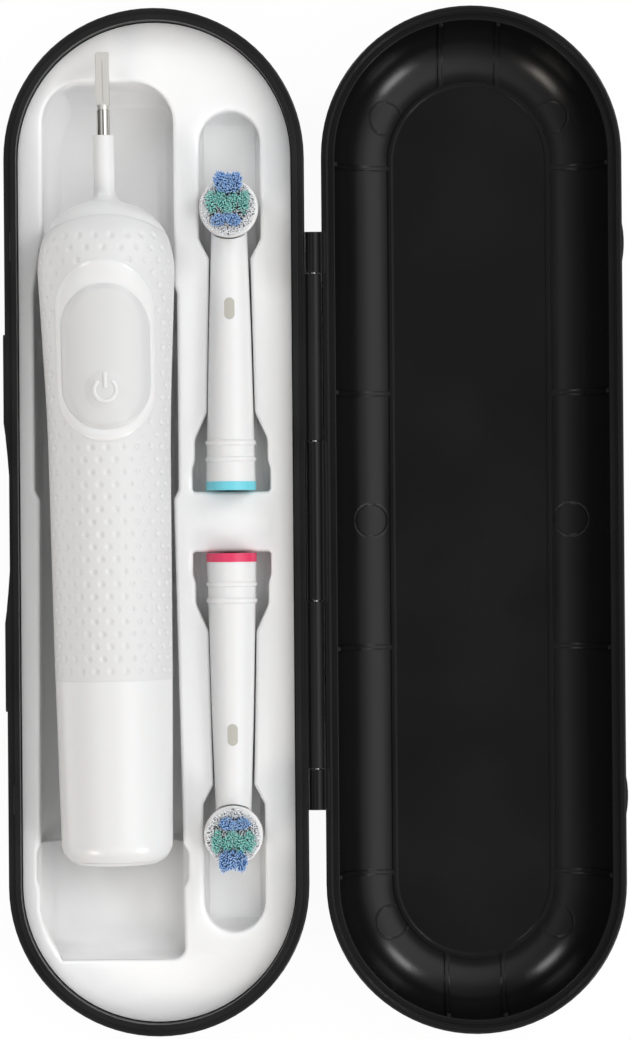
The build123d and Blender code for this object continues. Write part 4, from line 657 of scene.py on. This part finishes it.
# the filaments are drawn about twice as thick as real ones, so that single ones show
filament_radius, filament_sides = 0.15, 5
tip_taper = 0.9
fringe_root, fringe_tip = 4.9, 5.3
fringe_places = (-76, -104, -45, -135, -14, -166, 17, 163, 46, 134)
field_half = 5.3
golden_turn = 2.39996
root_jitter, fan_jitter, tip_jitter = 0.07, 0.06, 0.10
height_jitter, edge_drop = 0.3, 0.25
first_seed = 40
# each bundle: root (across, along), tip (across, along), tip half width and half length,
# turn in degrees, height, filaments
bundles = {
    "blue": [((-1.1, 4.4), (-1.7, 5.5), 1.6, 2.3, 7, 8.0, 120),
             ((1.1, 4.4), (1.7, 5.4), 1.6, 2.4, -7, 8.0, 120),
             ((0.0, 3.9), (0.0, 5.1), 1.2, 2.3, 0, 8.0, 90),
             ((-1.7, -3.7), (-2.2, -3.0), 1.7, 1.35, 8, 7.2, 90),
             ((1.7, -3.7), (1.2, -3.0), 1.7, 1.4, -8, 7.2, 90),
             ((0.0, -2.8), (-0.4, -2.4), 1.0, 1.0, 0, 7.0, 36)],
    "teal": [((-3.3, 0.8), (-3.7, 1.0), 1.25, 2.5, 4, 6.9, 100),
             ((3.3, 0.8), (3.5, 1.0), 1.25, 2.6, -4, 6.9, 100),
             ((-1.3, 1.0), (-1.5, 1.6), 1.25, 2.3, 10, 7.0, 90),
             ((1.3, 1.0), (1.1, 1.3), 1.2, 2.1, -10, 7.0, 80),
             ((0.0, -0.6), (0.0, -0.6), 1.0, 1.2, 0, 6.8, 40)],
    "white": [((fringe_root * math.cos(math.radians(place)),
                fringe_root * math.sin(math.radians(place))),
               (fringe_tip * math.cos(math.radians(place)),
                fringe_tip * math.sin(math.radians(place))),
               0.95, 1.5, place, 6.3, 80)
              for place in fringe_places]
             + [((0, 0), (0, 0), field_half, field_half, 0, 6.1, 760)],
}
# each colour: material, pale and deep shade, slot
nylon_looks = {
    "blue": ("blue_nylon", "#CFE6FB", "#64A0E0", "bristle_blue"),
    "teal": ("teal_nylon", "#CDF7F2", "#6CD0C8", "bristle_teal"),
    "white": ("clear_nylon", "#FFFFFF", "#F0F2F6", "bristle_white"),
}


def add_filament(bundle, root, tip):
    """One tapered filament from its root to its tip, in millimetres."""
    axis = Vector(tip) - Vector(root)
    place = (Matrix.Translation((Vector(root) + axis / 2) * MM)
             @ axis.to_track_quat("Z", "Y").to_matrix().to_4x4())
    bmesh.ops.create_cone(bundle, cap_ends=True, segments=filament_sides,
                          radius1=filament_radius * MM,
                          radius2=filament_radius * tip_taper * MM,
                          depth=axis.length * MM, matrix=place)


# Extruded nylon, which passes light on from filament to filament.  Its colour wanders in small
# random patches between a pale and a deep tone, painted light and shade that stand for lit tips
# and shaded gaps, and the undyed ones look clear.
glow_share = 0.4
nylons = {}
for kind, (name, pale, deep, _) in nylon_looks.items():
    nylon, nylon_shader = plain_material(name, pale, 0.35)
    shade_range(nylon, nylon_shader, "Base Color", size=0.25 * MM, low=linear(deep),
                high=linear(pale), detail=1.0)
    glow = add_node(nylon, "ShaderNodeBsdfTranslucent", {"Color": linear(pale)})
    mixed = add_node(nylon, "ShaderNodeMixShader", {0: glow_share})
    nylon.node_tree.links.new(nylon_shader.outputs[0], mixed.inputs[1])
    nylon.node_tree.links.new(glow.outputs[0], mixed.inputs[2])
    nylon.node_tree.links.new(mixed.outputs[0],
                              nylon.node_tree.nodes["Material Output"].inputs["Surface"])
    nylons[kind] = nylon

for number, direction in ((1, 1), (2, -1)):
    draw = random.Random(first_seed + number)
    for kind, tufts in bundles.items():
        bristles = bmesh.new()
        for root, tip, half_width, half_length, turn, height, count in tufts:
            turn_sin, turn_cos = math.sin(math.radians(turn)), math.cos(math.radians(turn))
            root_grow = 1.0 if half_width == field_half else root_spread
            for filament in range(count):
                reach = math.sqrt((filament + 0.5) / count)
                angle = filament * golden_turn
                wide = reach * math.cos(angle) + draw.uniform(-root_jitter, root_jitter)
                long = reach * math.sin(angle) + draw.uniform(-root_jitter, root_jitter)
                fan = draw.gauss(1.0, fan_jitter)
                places = []
                for centre, grow, level in ((root, root_grow, root_level),
                                            (tip, fan, height)):
                    across = wide * half_width * grow
                    along = long * half_length * grow
                    spot_across = centre[0] + across * turn_cos - along * turn_sin
                    spot_along = centre[1] + across * turn_sin + along * turn_cos
                    places.append([spot_across, spot_along, level])
                places[1][0] += draw.gauss(0, tip_jitter)
                places[1][1] += draw.gauss(0, tip_jitter)
                places[1][2] -= abs(draw.gauss(0, height_jitter)) + edge_drop * reach ** 2
                world_places = [(head_x + direction * a, direction * (disc_y + b), disc_top + c)
                                for a, b, c in places]
                add_filament(bristles, *world_places)
        piece = new_piece(f"head_{number}_bristles_{kind}", bristles, nylons[kind],
                          f"head_{number}_brush", 50)
        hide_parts(f"head_{number}_tufts_{kind}")

# ---- works inside the handle -------------------------------------------------------------
# Hidden behind the housing: cell, motor, gears, board, bushes and seals, each in the finish
# that it is bought or moulded in.
# each piece: finish, colour, roughness, metallic
works = {
    "cap_seal_ring": ("black_nitrile_rubber", "#151515", 0.55, 0.0),
    "shaft_seal": ("black_nitrile_rubber", "#151515", 0.55, 0.0),
    "coil_bobbin": ("dark_nylon", "#2A2A2C", 0.45, 0.0),
    "charge_coil": ("enamelled_copper", "#B5623A", 0.3, 1.0),
    "inner_frame": ("natural_abs", "#DAD8CC", 0.45, 0.0),
    "battery_cell": ("green_sleeve", "#2F7D46", 0.35, 0.0),
    "battery_contacts": ("nickel_strip", "#C9C4B8", 0.3, 1.0),
    "motor_can": ("drawn_steel_can", "#BDBDBD", 0.28, 1.0),
    "motor_rotor": ("rotor_steel", "#8C8C8C", 0.4, 1.0),
    "motor_pinion": ("natural_acetal", "#E4E2D8", 0.35, 0.0),
    "crank_gear": ("natural_acetal", "#E4E2D8", 0.35, 0.0),
    "rocker_arm": ("natural_acetal", "#E4E2D8", 0.35, 0.0),
    "gear_axle": ("ground_steel_axle", "#B9BABB", 0.25, 1.0),
    "circuit_board": ("green_solder_mask", "#1F6B35", 0.35, 0.0),
    "board_screws": ("zinc_plated_steel", "#C2C3C5", 0.3, 1.0),
    "tact_switch": ("black_pbt", "#1B1B1C", 0.45, 0.0),
    "switch_plunger": ("black_pbt", "#1B1B1C", 0.45, 0.0),
    "lower_shaft_bush": ("sintered_bronze", "#B08A4E", 0.45, 1.0),
    "upper_shaft_bush": ("sintered_bronze", "#B08A4E", 0.45, 1.0),
}
# The metals are bare, with narrow highlights, and the plastics, rubber and lacquer are half
# matt.  All have a fine grain.
finishes = {}
for part_name, (finish, colour, roughness, metal) in works.items():
    if finish not in finishes:
        finishes[finish], work_shader = plain_material(finish, colour, roughness, Metallic=metal)
        grain_bump(finishes[finish], work_shader, size=0.3 * MM, depth=0.006 * MM)
    dress(nodes[part_name], finishes[finish])
